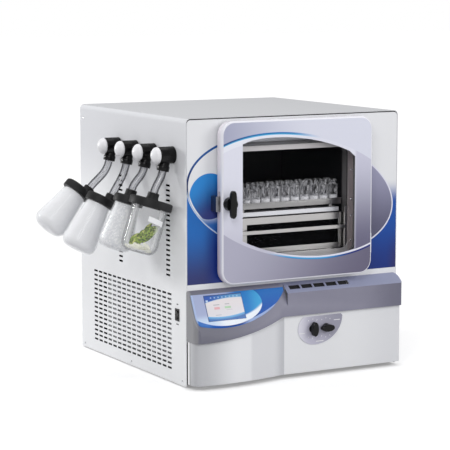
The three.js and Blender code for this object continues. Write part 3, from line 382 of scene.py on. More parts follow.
def lower_panel_paint_and_sheen():
    """White with a painted satin sheen that bends round the bulge: painted shade grey at its left end, a dark
    crease of painted shade, and a little darker towards the right end.
    """
    look = Look("lower_panel_paint_and_sheen", roughness=0.34)
    x, y, _ = look.millimetres()
    # painted sheen: grey at the left end, bright on the bulge, darkening into the crease, a little darker
    # towards the right end
    left = look.mix(x.rise(16, 150), tint(192, 193, 197), tint(238, 239, 242))
    middle = look.mix(x.rise(182, 196), left, tint(222, 223, 227))
    painted_crease_shade = look.mix(x.rise(272, 313), middle, tint(196, 197, 202))
    flat = look.mix(x.rise(520, 732), tint(234, 235, 238), tint(222, 223, 227))
    colour = look.mix(x.rise(313, 315), painted_crease_shade, flat)
    # its left return: a painted highlight strip beside the gap, then a grey line of painted edge shade
    left_end = x.rise(12, 8)
    colour = look.mix(left_end * y.rise(-17.6, -17), colour, tint(253, 253, 254))
    colour = look.mix(left_end * y.within(-21.5, -17.6, 0.4), colour, tint(118, 119, 122))
    look.set("Base Color", colour)
    look.bump(look.noise(1.6), 0.02, 0.35)
    return look.material


def door_print():
    """The lavender skin round the door's window, with the trim line and its pale band."""
    look = Look("door_print", roughness=0.3, Specular_IOR_Level=0.3)
    x, _, z = look.millimetres()
    away = look.from_oval(x, z)

    # outside the oval: deeper lavender at the top left, paler to the right, grey below
    upper = look.mix((x + z * 0.2).rise(200, 560), tint(168, 171, 196), tint(222, 224, 238))
    lower = look.mix((x - z * 0.6).rise(-140, 420), tint(180, 179, 198), tint(104, 100, 124))
    outside = look.mix(z.rise(430, 640), lower, upper)
    # inside it: nearly white, with a grey veil down the right
    inner = look.mix(z.rise(360, 560), tint(198, 197, 214), tint(228, 229, 242))
    veil = look.mix(z.rise(680, 380), tint(206, 206, 224), tint(100, 97, 124))
    inner = look.mix(x.rise(548, 560) * 0.96, inner, veil)
    colour = look.mix(away.rise(-0.6, 0.6), inner, outside)

    # the trim line: bright in the middle of its length, gone at its ends
    shown_top = z.rise(560, 570) * x.rise(440, 330)
    shown_low = z.rise(480, 470) * x.rise(235, 330)
    band = away.rise(0.5, -0.5) * away.rise(-19, -15)
    pale_top = band * shown_top * 0.9
    pale_low = away.within(-9, -3) * z.rise(480, 470) * x.rise(240, 330)
    colour = look.mix(pale_top, colour, tint(238, 240, 250))
    colour = look.mix(pale_low, colour, tint(232, 232, 244))
    top_line = look.mix(x.rise(100, 240), tint(14, 62, 132), tint(6, 118, 186))
    top_line = look.mix(x.rise(300, 420), top_line, tint(96, 164, 222))
    top_line = look.mix(away.rise(3.5, -1), top_line, tint(92, 184, 230))
    low_line = look.mix(x.rise(430, 560), tint(10, 118, 200), tint(30, 40, 118))
    low_inner = look.mix(x.rise(430, 520), tint(84, 176, 228), low_line)
    low_line = look.mix(away.rise(-2, 1.5), low_inner, low_line)
    colour = look.mix(away.within(-1.4, 5.8, 0.8) * shown_top, colour, top_line)
    colour = look.mix(away.within(-4.0, 1.2, 0.7) * shown_low, colour, low_line)

    look.set("Base Color", colour)
    look.bump(look.noise(2.0), 0.02, 0.3)
    return look.material


def clear_look(name, passing, edge, glint, edge_share, face_share, streak=0.0, painted_wisps=0.0, core=0.0):
    """Clear plastic or glass: what is behind it shows face on, and it turns to its edge's colour
    towards its outline, with a painted pale highlight streak just inside that. Painted glints
    run in upright wisps, as uneven glass would catch the light. A core is a painted bright
    highlight along a tube's middle, between broad dark outlines."""
    look = Look(name, colour=glint, roughness=0.04, Coat_Weight=0.5, Coat_Roughness=0.02)
    facing = Field(look, look.node("ShaderNodeLayerWeight").outputs["Facing"])
    steep = facing.rise(0.16, 0.72) if core else facing * facing * facing
    through = look.node("ShaderNodeBsdfTransparent")
    look.wire(look.mix(steep, passing, edge), through.inputs["Color"])
    share = steep * edge_share + face_share
    if streak:
        share = share + facing.within(0.24, 0.4, 0.09) * streak
    if core:
        share = share + facing.rise(0.09, 0.015) * core
    if painted_wisps:
        share = share + look.noise(5, 1.0, (1, 1, 3.5)).rise(0.54, 0.68) * painted_wisps
    mixed = look.node("ShaderNodeMixShader")
    look.wire(share, mixed.inputs[0])
    look.wire(through.outputs[0], mixed.inputs[1])
    look.wire(look.shader.outputs[0], mixed.inputs[2])
    look.wire(mixed.outputs[0], look.output.inputs["Surface"])
    return look.material


def door_edge():
    """The acrylic's sawn and polished edge: pale, with a pink cast in its depth."""
    look = Look("door_edge", roughness=0.25, Specular_IOR_Level=0.6)
    _, y, z = look.millimetres()
    depth = y.rise(DOOR_FRONT + 2, DOOR_BACK - 6) * y.rise(DOOR_BACK, DOOR_BACK - 9)
    pink = look.mix(z.rise(300, 740), tint(216, 196, 206), tint(232, 226, 234))
    look.set("Base Color", look.mix(depth, tint(236, 236, 244), pink))
    return look.material


def console_plastic():
    """Grey flats round the lens with painted light and shade along them, and a painted lighter, bluer grey
    where the moulding slopes up to the light.
    """
    look = Look("console_plastic", roughness=0.46)
    x, _, _ = look.millimetres()
    # painted light along the flats: shaded at the left, lighter to the middle, shaded again at the right end,
    # and a lit left end face
    flat = look.mix(x.rise(40, 330), tint(104, 104, 118), tint(130, 129, 147))
    flat = look.mix(x.rise(560, 732), flat, tint(101, 100, 119))
    flat = look.mix(x.rise(14, 6), flat, tint(138, 138, 142))
    # painted light: the upward-facing slope lighter and bluer
    slope = tint(146, 151, 178)
    normal = look.node("ShaderNodeSeparateXYZ")
    look.wire(look.node("ShaderNodeNewGeometry").outputs["Normal"], normal.inputs[0])
    upward = Field(look, normal.outputs["Z"])
    body = look.mix(upward.rise(0.3, 0.6) * x.rise(300, 330), flat, slope)
    look.set("Base Color", look.mix(look.noise(30), body, look.mix(0.06, body, tint(190, 190, 205))))
    look.bump(look.noise(0.7, 3.0), 0.04, 0.5)
    return look.material


def lens_print_and_highlight():
    """The glossy lens: lavender at the left, deep blue at the right, a white crescent between."""
    look = Look("lens_print_and_highlight", roughness=0.24, Specular_IOR_Level=0.16, Coat_Weight=0.05, Coat_Roughness=0.05)
    x, y, z = look.millimetres()
    down = (LENS_TOP[1] - z) / math.cos(LENS_LEAN)
    # the sweep: everything within this oval belongs to the pale side
    middle_x, middle_down = 110, 40
    half_width, half_depth = 127, 64.5
    sweep_x = (x - middle_x) / half_width
    sweep_down = (down - middle_down) / half_depth
    sweep = look.root(sweep_x * sweep_x + sweep_down * sweep_down)

    deep = look.mix(down.rise(0, 70), tint(2, 108, 190), tint(8, 84, 176))
    fan = look.mix(x.rise(176, 232), tint(30, 122, 200), tint(58, 164, 220))
    left = look.mix(down.rise(62, 88), tint(168, 178, 212), tint(202, 220, 244))
    pale_side = look.mix(x.rise(110, 160), left, fan)
    white_from = 0.97 - (down - 48) * 0.0075
    white = (sweep - white_from).rise(-0.05, 0.07) * down.rise(40, 52) * x.rise(60, 110)
    pale_side = look.mix(white, pale_side, tint(240, 246, 253))
    ground = look.mix(sweep.rise(1.004, 0.992), deep, pale_side)
    navy = sweep.within(1.004, 1.04, 0.006) * x.rise(80, 120) * x.rise(236, 196)
    ground = look.mix(navy, ground, tint(20, 42, 112))
    ground = look.mix(x.rise(70, 40) * sweep.rise(0.98, 1.02), ground, tint(60, 116, 194))

    # a painted highlight: a paler rim round the lens's edge
    half_chord, bulge = 204, 28
    arc_radius = (half_chord ** 2 + bulge ** 2) / (2 * bulge)
    arc_x, lens_front = 102, -64
    dx, dy = x - arc_x, y - lens_front - arc_radius
    from_arc = look.root(dx * dx + dy * dy)
    front_rim_highlight = from_arc.rise(arc_radius - 9.4, arc_radius - 8.6) * x.rise(150, 190)
    rim = look.most(front_rim_highlight, x.rise(14, 12.4))
    ground = look.mix(rim * 0.75, ground, tint(176, 196, 234))
    # painted light: a pale strip along the top edge at the left, beside the door's shadow
    ground = look.mix(down.rise(2.6, 1.6) * x.rise(200, 120), ground, tint(196, 204, 226))
    look.set("Base Color", ground)
    return look.material


def screen_print():
    """The lit touch screen: a blue bar over an arched page with faint figures, a blue foot."""
    look = Look("screen_print", roughness=0.16, Specular_IOR_Level=0.3, Coat_Weight=0.1, Coat_Roughness=0.04)
    x, _, z = look.millimetres()
    across = x - SCREEN["left"]
    down = (LENS_TOP[1] - z) / math.cos(LENS_LEAN) - SCREEN["from_top"]
    page = look.mix(down.rise(20, 60), tint(222, 217, 219), tint(214, 212, 218))
    arch = (across - 90) * (across - 90) * 0.00135 + 11
    bar = look.mix(across.rise(6, 110), tint(44, 84, 170), tint(86, 152, 200))
    colour = look.mix((down - arch).rise(0.5, -0.5), page, bar)
    colour = look.mix((down - arch).within(-1.2, 0, 0.4) * 0.6, colour, tint(196, 222, 240))
    foot_edge = 66 - (across - 50) * (across - 50) * 0.0016
    foot = look.mix((down - foot_edge).rise(0, 10), tint(110, 176, 222), tint(52, 104, 172))
    colour = look.mix((down - foot_edge).rise(-0.5, 0.5), colour, foot)

    # from the screen's upper left corner: left, width, top, height, colour and how strongly it shows
    marks = [
        (26, 20, 28, 2.6, tint(128, 128, 138), 0.6), (64, 15, 27.5, 2.6, tint(128, 128, 138), 0.6),
        (27, 18, 36, 7, tint(220, 150, 158), 0.75), (62, 20, 36, 6, tint(150, 200, 150), 0.75),
        (66, 20, 45.5, 1.6, tint(150, 152, 160), 0.5), (27, 19, 59, 2.4, tint(140, 144, 158), 0.5),
        (4, 7, 13, 6, tint(206, 226, 244), 0.8),
    ]
    marks += [(20 + 12.5 * i, 4.5, 5.2, 4, tint(178, 208, 232), 0.6) for i in range(8)]
    for left, width, top, height, shade, lit in marks:
        area = across.within(left, left + width, 0.6) * down.within(top, top + height, 0.6)
        colour = look.mix(area * lit, colour, shade)
    from_side = look.least(across, SCREEN["width"] - across)
    from_end = look.least(down, SCREEN["height"] - down)
    frame_line = look.least(from_side, from_end)
    colour = look.mix(frame_line.rise(2.0, 1.2), colour, tint(48, 78, 136))
    look.set("Base Color", colour)
    look.set("Emission Color", colour)
    look.set("Emission Strength", 0.08)
    return look.material


def plate_print():
    """The satin plate behind the two knobs, with painted light: palest at its lower left and left end,
    painted shade towards the upper right.
    """
    look = Look("plate_print", roughness=0.36)
    x, _, z = look.millimetres()
    # painted light: palest at the lower left and the left end, shaded towards the upper right
    lit = look.mix((x + z * 0.4).rise(420, 580), tint(196, 194, 212), tint(150, 149, 166))
    lit = look.mix(x.rise(404, 362), lit, tint(220, 219, 230))
    look.set("Base Color", lit)
    return look.material


def steel(name, colour, stretch, roughness=0.3, grain=0.5):
    """Brushed stainless steel, its grain long in the direction that stretch gives."""
    look = Look(name, metallic=1.0)
    lines = look.noise(grain, 2.0, stretch)
    broad = look.noise(120)
    dark = tuple(level * 0.86 for level in colour[:3]) + (1,)
    look.set("Base Color", look.mix(lines * 0.7 + broad * 0.3, dark, colour))
    look.set("Roughness", lines * 0.12 + (roughness - 0.06))
    look.bump(lines, 0.015, 0.6)
    return look.material


def chamber_look():
    """Steel on the flange that shows round the door; inside, the steel is painted dark as shade, with a
    painted grey reflection down the right wall near the front.
    """
    look = Look("chamber_lining", metallic=0.6)
    x, y, _ = look.millimetres()
    lines = look.noise(0.5, 2.0, (60, 1, 1))
    flange = look.mix(lines, tint(196, 192, 192), tint(222, 220, 219))
    flange = look.mix(x.rise(552, 558), flange, look.mix(lines, tint(176, 164, 164), tint(196, 184, 184)))
    # painted shade: the steel inside is coloured near black
    dark = look.mix(look.noise(90), tint(7, 7, 9), tint(12, 12, 15))
    # painted reflection: a grey band down the right wall near the front
    dark = look.mix(x.rise(550, 554) * y.within(12, 38, 5), dark, tint(112, 110, 110))
    inside = y.rise(7.4, 7.8)
    look.set("Base Color", look.mix(inside, flange, dark))
    look.set("Metallic", y.rise(7.8, 7.4) * 0.3)
    look.set("Roughness", inside * 0.08 + 0.34)
    look.bump(lines, 0.012, 0.4)
    return look.material


def chrome():
    """Bright plating, a little uneven."""
    look = Look("bright_plate", metallic=1.0)
    look.set("Base Color", look.mix(look.noise(20), tint(206, 207, 210), tint(226, 227, 230)))
    look.set("Roughness", look.noise(5) * 0.08 + 0.08)
    return look.material


def dark_moulding(name, level, roughness, shine=0.22):
    """Black plastic or rubber: a fine grain, and a lighter bloom in patches."""
    look = Look(name, Specular_IOR_Level=shine)
    base = look.mix(look.noise(24), tint(level, level, level + 1), tint(level + 7, level + 7, level + 9))
    look.set("Base Color", base)
    look.set("Roughness", look.noise(12) * 0.12 + (roughness - 0.06))
    look.bump(look.noise(0.6, 3.0), 0.03, 0.5)
    return look.material


def white_moulding():
    """White plastic of the valve caps."""
    look = Look("knob_white", roughness=0.32)
    look.set("Base Color", look.mix(look.noise(18), tint(232, 232, 235), tint(242, 242, 245)))
    look.bump(look.noise(0.8), 0.02, 0.4)
    return look.material


def frosted_glass():
    """Glass white with frost, its rime in soft rings that follow the flask's turn."""
    look = Look("frosted_glass", roughness=0.55)
    rings = look.noise(7, 3.0, (5, 5, 1))
    look.set("Base Color", look.mix(rings, tint(236, 237, 240), tint(250, 250, 252)))
    look.bump(look.noise(3, 3.0), 0.25, 0.5)
    return look.material


def ice_crystals():
    """Coarse white crystals packed against the glass."""
    look = Look("ice_crystals", roughness=0.4)
    grains = look.cells(6.5)
    look.set("Base Color", look.mix(grains.rise(0.1, 0.75), tint(252, 252, 253), tint(224, 226, 230)))
    look.bump(grains, 1.4, 0.6)
    return look.material


def leaf_green():
    """Dark leaves with paler and yellower patches."""
    look = Look("leaf_green", roughness=0.5)
    shade = look.noise(5, 3.0)
    colour = look.mix(shade.rise(0.4, 0.56), tint(34, 56, 8), tint(140, 168, 48))
    colour = look.mix(look.noise(9).rise(0.56, 0.66), colour, tint(208, 214, 118))
    look.set("Base Color", colour)
    look.bump(look.noise(2.2), 0.5, 0.6)
    return look.material


def plain_white(name, colour, grain):
    """A pale matt finish with a soft grain, for prints, cakes, roots and the label."""
    look = Look(name, roughness=0.6)
    look.set("Base Color", varied(look, colour, 0.04, grain))
    look.bump(look.noise(grain * 0.4), 0.15, 0.5)
    return look.material


def aluminium():
    """Plain sheet aluminium, its grain running across."""
    look = Look("shelf_plate", metallic=0.7)
    lines = look.noise(0.7, 2.0, (60, 1, 1))
    look.set("Base Color", look.mix(lines, tint(206, 207, 210), tint(232, 233, 236)))
    look.set("Roughness", lines * 0.1 + 0.36)
    return look.material


def enamel(name, colour, roughness=0.5):
    """Stoved paint of one colour, a little patchy."""
    look = Look(name, roughness=roughness)
    look.set("Base Color", varied(look, colour, 0.08, 40))
    look.bump(look.noise(1.4), 0.04, 0.5)
    return look.material


SHADED_CABINET_PAINT = cabinet_paint()
STEEL_ACROSS = steel("steel_across", tint(196, 194, 192), (80, 1, 1))
STEEL_UPRIGHT = steel("steel_upright", tint(190, 188, 186), (1, 1, 80))
STEEL_TURNED = steel("steel_turned", tint(190, 188, 186), (1, 1, 1), 0.26)
CHROME = chrome()
BLACK = dark_moulding("black_moulding", 6, 0.24)
RUBBER = dark_moulding("black_rubber", 25, 0.5)
WHITE = white_moulding()
CLEAR = (1, 1, 1, 1)
GLINT = tint(246, 247, 249)
GLASS = clear_look("flask_glass", CLEAR, (0.4, 0.41, 0.43, 1), GLINT, 0.4, 0.04, streak=0.25)
FROSTED_SKIN = clear_look("frosted_skin", CLEAR, (0.95, 0.955, 0.96, 1), GLINT, 0.4, 0.1)
TUBE = clear_look("tube_glass", (0.89, 0.89, 0.9, 1), (0.3, 0.3, 0.31, 1), GLINT, 0.02, 0.01, core=0.3)
VIAL = clear_look("vial_glass", (0.995, 0.995, 1, 1), (0.22, 0.22, 0.24, 1), tint(254, 254, 255),
                  0.5, 0.002, streak=0.1, painted_wisps=0.24)
ACRYLIC = clear_look("door_acrylic", (0.985, 0.985, 0.99, 1), (0.8, 0.8, 0.82, 1), tint(120, 122, 130),
                     0.15, 0.004)

# ---------------------------------------------------------------- making pieces


def alone(piece):
    """Selects one piece and nothing else, and makes it the active one."""
    bpy.ops.object.select_all(action="DESELECT")
    piece.select_set(True)
    bpy.context.view_layer.objects.active = piece
    return piece


def modified(piece, kind, **settings):
    """Adds a modifier and applies it."""
    alone(piece)
    made = piece.modifiers.new(kind.lower(), kind)
    for key, value in settings.items():
        setattr(made, key, value)
    bpy.ops.object.modifier_apply(modifier=made.name)
    return piece


def finished(piece, name, body, material, smooth=None, replaced=()):
    """Applies the piece's place, gives it its finish and ties it to a body of the frame."""
    alone(piece)
    piece.name = piece.data.name = name
    bpy.ops.object.transform_apply(location=True, rotation=True, scale=True)
    if smooth is not None:
        bpy.ops.object.shade_smooth_by_angle(angle=math.radians(smooth))
    piece.data.materials.clear()
    piece.data.materials.append(material)
    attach(piece, body)
    if replaced:
        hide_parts(*replaced)
    return piece


def from_points(name, points, edges=(), faces=()):
    """A mesh of points in millimetres about its own origin, to be shaped further."""
    mesh = bpy.data.meshes.new(name)
    mesh.from_pydata([Vector(point) * MM for point in points], edges, faces)
    piece = bpy.data.objects.new(name, mesh)
    bpy.context.scene.collection.objects.link(piece)
    return alone(piece)


def turned(name, profile, steps=48):
    """A profile of (radius, height) points turned about the Z axis and closed at its poles."""
    points = [(radius, 0, height) for radius, height in profile]
    piece = from_points(name, points, [(i, i + 1) for i in range(len(points) - 1)])
    bpy.ops.object.mode_set(mode="EDIT")
    bpy.ops.mesh.select_all(action="SELECT")
    bpy.ops.mesh.spin(steps=steps, angle=2 * math.pi, center=(0, 0, 0), axis=(0, 0, 1))
    bpy.ops.mesh.select_all(action="SELECT")
    bpy.ops.mesh.remove_doubles(threshold=0.01 * MM)
    bpy.ops.mesh.normals_make_consistent(inside=False)
    bpy.ops.object.mode_set(mode="OBJECT")
    return piece


def extruded(name, outline, y0, y1):
    """An outline of (x, z) points pushed from y0 to y1."""
    piece = from_points(name, [(x, y0, z) for x, z in outline], faces=[tuple(range(len(outline)))])
    bpy.ops.object.mode_set(mode="EDIT")
    bpy.ops.mesh.select_all(action="SELECT")
    bpy.ops.mesh.extrude_region_move(TRANSFORM_OT_translate={"value": (0, (y1 - y0) * MM, 0)})
    bpy.ops.mesh.select_all(action="SELECT")
    bpy.ops.mesh.normals_make_consistent(inside=False)
    bpy.ops.object.mode_set(mode="OBJECT")
    return piece


def block(name, low, high, bevel=0.0):
    """A bar or plate between two corners in millimetres, with its edges rounded."""
    middle = [(a + b) / 2 * MM for a, b in zip(low, high)]
    bpy.ops.object.select_all(action="DESELECT")
    bpy.ops.mesh.primitive_cube_add(size=1, location=middle)
    piece = bpy.context.object
    piece.name = name
    piece.scale = [(b - a) * MM for a, b in zip(low, high)]
    bpy.ops.object.transform_apply(location=True, rotation=True, scale=True)
    if bevel:
        modified(piece, "BEVEL", width=bevel * MM, segments=3, limit_method="ANGLE")
    return piece


def cut(piece, *tools):
    """Takes each tool's shape out of the piece and removes the tool."""
    for tool in tools:
        modified(piece, "BOOLEAN", operation="DIFFERENCE", object=tool, solver="EXACT")
        bpy.data.objects.remove(tool)
    return piece


def placed(piece, x, y, z, turn=None):
    """Moves a piece made about its own origin to its place on the machine."""
    piece.matrix_world = Matrix.Translation(at(x, y, z)) @ (turn.to_4x4() if turn else Matrix())
    return piece


def joined(*pieces):
    """One piece out of several; the first gives its name and finish."""
    bpy.ops.object.select_all(action="DESELECT")
    for piece in pieces:
        piece.select_set(True)
    bpy.context.view_layer.objects.active = pieces[0]
    bpy.ops.object.join()
    return pieces[0]


def copied(piece):
    """Another of the same piece, with a mesh of its own."""
    twin = piece.copy()
    twin.data = piece.data.copy()
    bpy.context.scene.collection.objects.link(twin)
    return twin


def refined(node, name, material, bevel=0.0, smooth=32.0, segments=2, flat=0.5):
    """A copy of a frame node with its flat faces merged, its bends smooth and its edges broken."""
    source = frame["nodes"][node]
    piece = bpy.data.objects.new(name, source.data.copy())
    bpy.context.scene.collection.objects.link(piece)
    alone(piece)
    bpy.ops.object.mode_set(mode="EDIT")
    bpy.ops.mesh.select_all(action="SELECT")
    bpy.ops.mesh.remove_doubles(threshold=0.004 * MM)
    bpy.ops.mesh.dissolve_limited(angle_limit=math.radians(flat))
    bpy.ops.object.mode_set(mode="OBJECT")
    if bevel:
        modified(piece, "BEVEL", width=bevel * MM, segments=segments, limit_method="ANGLE",
                 angle_limit=math.radians(35), use_clamp_overlap=True)
    finished(piece, name, source["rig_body"], material, smooth, (node,))
    return modified(piece, "WEIGHTED_NORMAL", keep_sharp=True)


def arc(cx, cz, radius, start, end, steps):
    """Points along an arc between two angles in degrees."""
    turn = [math.radians(start + (end - start) * i / steps) for i in range(steps + 1)]
    return [(cx + radius * math.cos(a), cz + radius * math.sin(a)) for a in turn]


def rounded_rectangle(left, bottom, right, top, corner_radius, steps=12):
    r = corner_radius
    return [
        *arc(right - r, bottom + r, r, -90, 0, steps), *arc(right - r, top - r, r, 0, 90, steps),
        *arc(left + r, top - r, r, 90, 180, steps), *arc(left + r, bottom + r, r, 180, 270, steps),
    ]


OUTWARD = Matrix.Rotation(math.radians(-90), 3, "Y")      # turns +Z to point out of the left side


# ---------------------------------------------------------------- cabinet, panels and console

def dress_cabinet():
    """Paint and painted shade on the sheet metal, and the console with its lens, screen and filter pads."""
    front = front_print()
    for node in ("cabinet_wrapper", "rear_panel", "base_pan", "control_box"):
        frame["nodes"][node].data.materials.clear()
        frame["nodes"][node].data.materials.append(SHADED_CABINET_PAINT)
    frame["nodes"]["front_panel"].data.materials.clear()
    frame["nodes"]["front_panel"].data.materials.append(front)
    refined("lower_front_panel", "lower_panel_cover", lower_panel_paint_and_sheen(), 0.7, flat=0.1)
    refined("console_bezel", "console_moulding", console_plastic(), 1.2)
    pad = block("vent_pad", (-100, -11, -1), (100, 11, 1), 0.4)
    slope_rise, slope_run = 28, 36
    slope = Matrix.Rotation(math.atan2(slope_rise, slope_run), 3, "X")
    finished(placed(pad, 441, -14.6, 265.6, slope), "vent_filter_pad", "cabinet",
             dark_moulding("filter_grey", 38, 0.9))
    screen = block("rear_screen", (82, 714.6, 62), (333, 715.8, 216), 0.3)
    finished(placed(screen, 0, 0, 0), "rear_louvre_screen", "cabinet",
             dark_moulding("screen_black", 8, 0.9))
    refined("screen_lens", "screen_lens_cover", lens_print_and_highlight(), 0.5)
    refined("touch_screen", "touch_screen_glass", screen_print(), 0.4)


def screw_head(radius):
    """A low domed head with a cross recess."""
    head = turned("screw", [(0, 0), (radius, 0), (radius, 0.6), (radius * 0.8, radius * 0.42),
                            (radius * 0.4, radius * 0.55), (0, radius * 0.58)], 20)
    arm, half_slot, floor = radius * 0.55, 0.45, radius * 0.3
    return cut(head, block("cross", (-arm, -half_slot, floor), (arm, half_slot, radius)),
               block("cross", (-half_slot, -arm, floor), (half_slot, arm, radius)))


def add_screws():
    """Screws that hold the wrapper, the chamber's flange and the rear panel."""
    forward = Matrix.Rotation(math.radians(90), 3, "X")
    side = screw_head(3.6)
    spots = [(0, 24, 13), (0, 360, 12), (0, 696, 12), (0, 696, 400), (0, 696, 740)]
    group = [placed(copied(side), *spot, turn=OUTWARD) for spot in spots]
    mirrored = Matrix.Rotation(math.radians(90), 3, "Y")
    group += [placed(copied(side), CABINET_WIDTH, y, z, turn=mirrored) for _, y, z in spots]
    finished(joined(*group), "wrapper_screws", "cabinet", CHROME, 30)
    bpy.data.objects.remove(side)
    small = screw_head(3.2)
    heights = (395, 470, 520, 610, 660)
    group = [placed(copied(small), x, 2.2, z, turn=forward) for z in heights for x in (144, 567)]
    finished(joined(*group), "flange_screws", "cabinet", CHROME, 30)
    back = turned("back_screw", [(0, 0), (4, 0), (4, 1), (2.6, 2.2), (0, 2.4)], 20)
    backward = Matrix.Rotation(math.radians(-90), 3, "X")
    spots = [(x, z) for x in (16, 366, 716) for z in (20, 300, 560, 764)]
    group = [placed(copied(back), x, CABINET_DEPTH - 1, z, turn=backward) for x, z in spots]
    finished(joined(*group), "rear_screws", "cabinet", CHROME, 30)
    bpy.data.objects.remove(small)
    bpy.data.objects.remove(back)


# ---------------------------------------------------------------- knobs on the lower panel

def add_plate_marks():
    """Plain ticks round the two knobs, and short bars beside and under them."""
    ticks = []
    for centre in KNOBS:
        for angle in (-60, -90, -120, 60, 90, 120):
            tick = block("tick", (-0.9, -0.25, 27), (0.9, 0.25, 31))
            turn = Matrix.Rotation(math.radians(90 - angle), 3, "Y")
            ticks.append(placed(tick, centre, PLATE_FACE, KNOB_Z, turn=turn))
    for left, z, width, height in ((364, 128, 20, 2.2), (486, 160, 22, 2.2), (424, 100, 26, 2.6)):
        ticks.append(placed(block("tick", (0, -0.25, 0), (width, 0.25, height)), left, PLATE_FACE, z))
    mark_white = plain_white("mark_white", tint(236, 236, 240), 20)
    finished(joined(*ticks), "knob_plate_marks", "cabinet", mark_white)


def dress_knobs():
    """The printed plate and its two turning knobs."""
    refined("knob_plate", "knob_plate_cover", plate_print(), 0.5)
    add_plate_marks()
    refined("drain_knob", "drain_knob_grip", BLACK, 0.9, 40)
    refined("vacuum_release_knob", "vacuum_release_grip", BLACK, 0.9, 40)


# ---------------------------------------------------------------- door

def window_outline(share):
    """The window: the trim oval drawn in by a share, cut off by two upright sides."""
    cosine, sine = math.cos(OVAL["fall"]), math.sin(OVAL["fall"])

    def oval_point(angle):
        along = OVAL["half_length"] * share * math.cos(angle)
        across = OVAL["half_height"] * share * math.sin(angle)
        return (OVAL["x"] + along * cosine + across * sine, OVAL["z"] - along * sine + across * cosine)

    steps = 720
    points = [oval_point(2 * math.pi * i / steps) for i in range(steps)]
    shown = [p for p in points if WINDOW["left"] < p[0] < WINDOW["right"]]
    top = sorted(p for p in shown if p[1] > OVAL["z"])
    low = sorted((p for p in shown if p[1] < OVAL["z"]), reverse=True)
    # the upper corners are eased: a short fall at the left, a rounding at the right
    left_z, right_z = top[0][1], top[-1][1]
    ease_left, ease_right = 26, 10
    top = [p for p in top if WINDOW["left"] + ease_left < p[0] < WINDOW["right"] - ease_right]
    top = [(WINDOW["left"], left_z - 4), *top, (WINDOW["right"] - 6.5, right_z - 0.6),
           (WINDOW["right"] - 2.6, right_z - 3.6), (WINDOW["right"], right_z - 9)]
    low[0] = (WINDOW["right"], low[0][1])
    low[-1] = (WINDOW["left"], low[-1][1])
    keep_every = 6
    return low[::-1][::keep_every] + [low[0]] + top[::-1][::keep_every] + [top[0]]


def add_door():
    """The acrylic slab, and the printed skin on its front with the window left clear."""
    outline = rounded_rectangle(DOOR["left"], DOOR["bottom"], DOOR["right"], DOOR["top"], DOOR["corner"])
    slab = placed(extruded("door_slab", outline, DOOR_FRONT, DOOR_BACK), 0, 0, 0)
    modified(slab, "BEVEL", width=5 * MM, segments=4, limit_method="ANGLE", angle_limit=math.radians(40))
    latch_x, latch_z = LATCH
    # room for the latch's arm, and the bore that its shaft turns in
    pocket = placed(block("pocket", (96, -26.3, latch_z - 10), (latch_x + 15, -17.7, latch_z + 35)), 0, 0, 0)
    bore = placed(turned("bore", [(0, -5), (6.3, -5), (6.3, 30), (0, 30)], 32), latch_x, -20, latch_z,
                  turn=Matrix.Rotation(math.radians(90), 3, "X"))
    cut(slab, pocket, bore)
    finished(slab, "door_slab", "door", ACRYLIC, 30, ("door",))
    slab.data.materials.append(door_edge())
    front, back = at(0, DOOR_FRONT, 0).y, at(0, DOOR_BACK, 0).y
    for face in slab.data.polygons:
        on_front = abs(face.center.y - front) < 0.02 * MM
        on_back = abs(face.center.y - back) < 0.02 * MM
        face.material_index = 0 if on_front or on_back else 1

    # the skin: a thin sheet bonded on the front, with the window cut out of it
    inset = 4.7
    skin_outline = rounded_rectangle(DOOR["left"] + inset, DOOR["bottom"] + inset, DOOR["right"] - inset,
                                     DOOR["top"] - inset, DOOR["corner"] - inset)
    skin = placed(extruded("door_skin", skin_outline, DOOR_FRONT - 0.22, DOOR_FRONT - 0.05), 0, 0, 0)
    hole = placed(extruded("window", window_outline(WINDOW_SHARE), DOOR_FRONT - 2, DOOR_FRONT + 2), 0, 0, 0)
    shaft = placed(turned("shaft", [(0, -5), (6.6, -5), (6.6, 8), (0, 8)], 32), latch_x, DOOR_FRONT, latch_z,
                   turn=Matrix.Rotation(math.radians(90), 3, "X"))
    cut(skin, hole, shaft)
    finished(skin, "door_skin", "door", door_print())


def dress_latch_and_hinges():
    """The latch with its keeper, both hinges and the gasket behind the door."""
    refined("latch_knob", "latch_knob_grip", BLACK, 1.0, 40)
    refined("latch_arm", "latch_arm_bar", CHROME, 0.6)
    refined("latch_keeper", "latch_keeper_plate",
            steel("keeper_steel", tint(134, 134, 140), (1, 1, 30)), 0.3)
    for level in ("lower", "upper"):
        refined(f"{level}_hinge_bracket", f"{level}_hinge_bracket_plate", CHROME, 0.3)
        refined(f"{level}_hinge_leaf", f"{level}_hinge_leaf_strap", CHROME, 0.3)
    refined("door_gasket", "door_gasket_ring", dark_moulding("gasket_grey", 104, 0.5), 1.2)


# ---------------------------------------------------------------- chamber

def dress_chamber():
    """The lining, the rack and its shelf."""
    refined("vacuum_chamber", "chamber_lining", chamber_look())
    refined("tray_rack", "tray_rack_frame", STEEL_ACROSS, 0.6)
    refined("rack_crossbar", "rack_crossbar_strip", STEEL_ACROSS, 0.8)
    refined("heated_shelf", "heated_shelf_plate", aluminium(), 1.0)
    # the rack's black inner panel, with two small slots in its face
    panel = block("rack_panel", (214, 26, 380), (540, 29, 468), 0.5)
    for left in (246, 300):
        cut(panel, block("slot", (left, 25, 410.5), (left + 26, 30, 413.5)))
    finished(placed(panel, 0, 0, 0), "rack_inner_panel", "cabinet",
             dark_moulding("rack_black", 1, 0.7, 0.03))


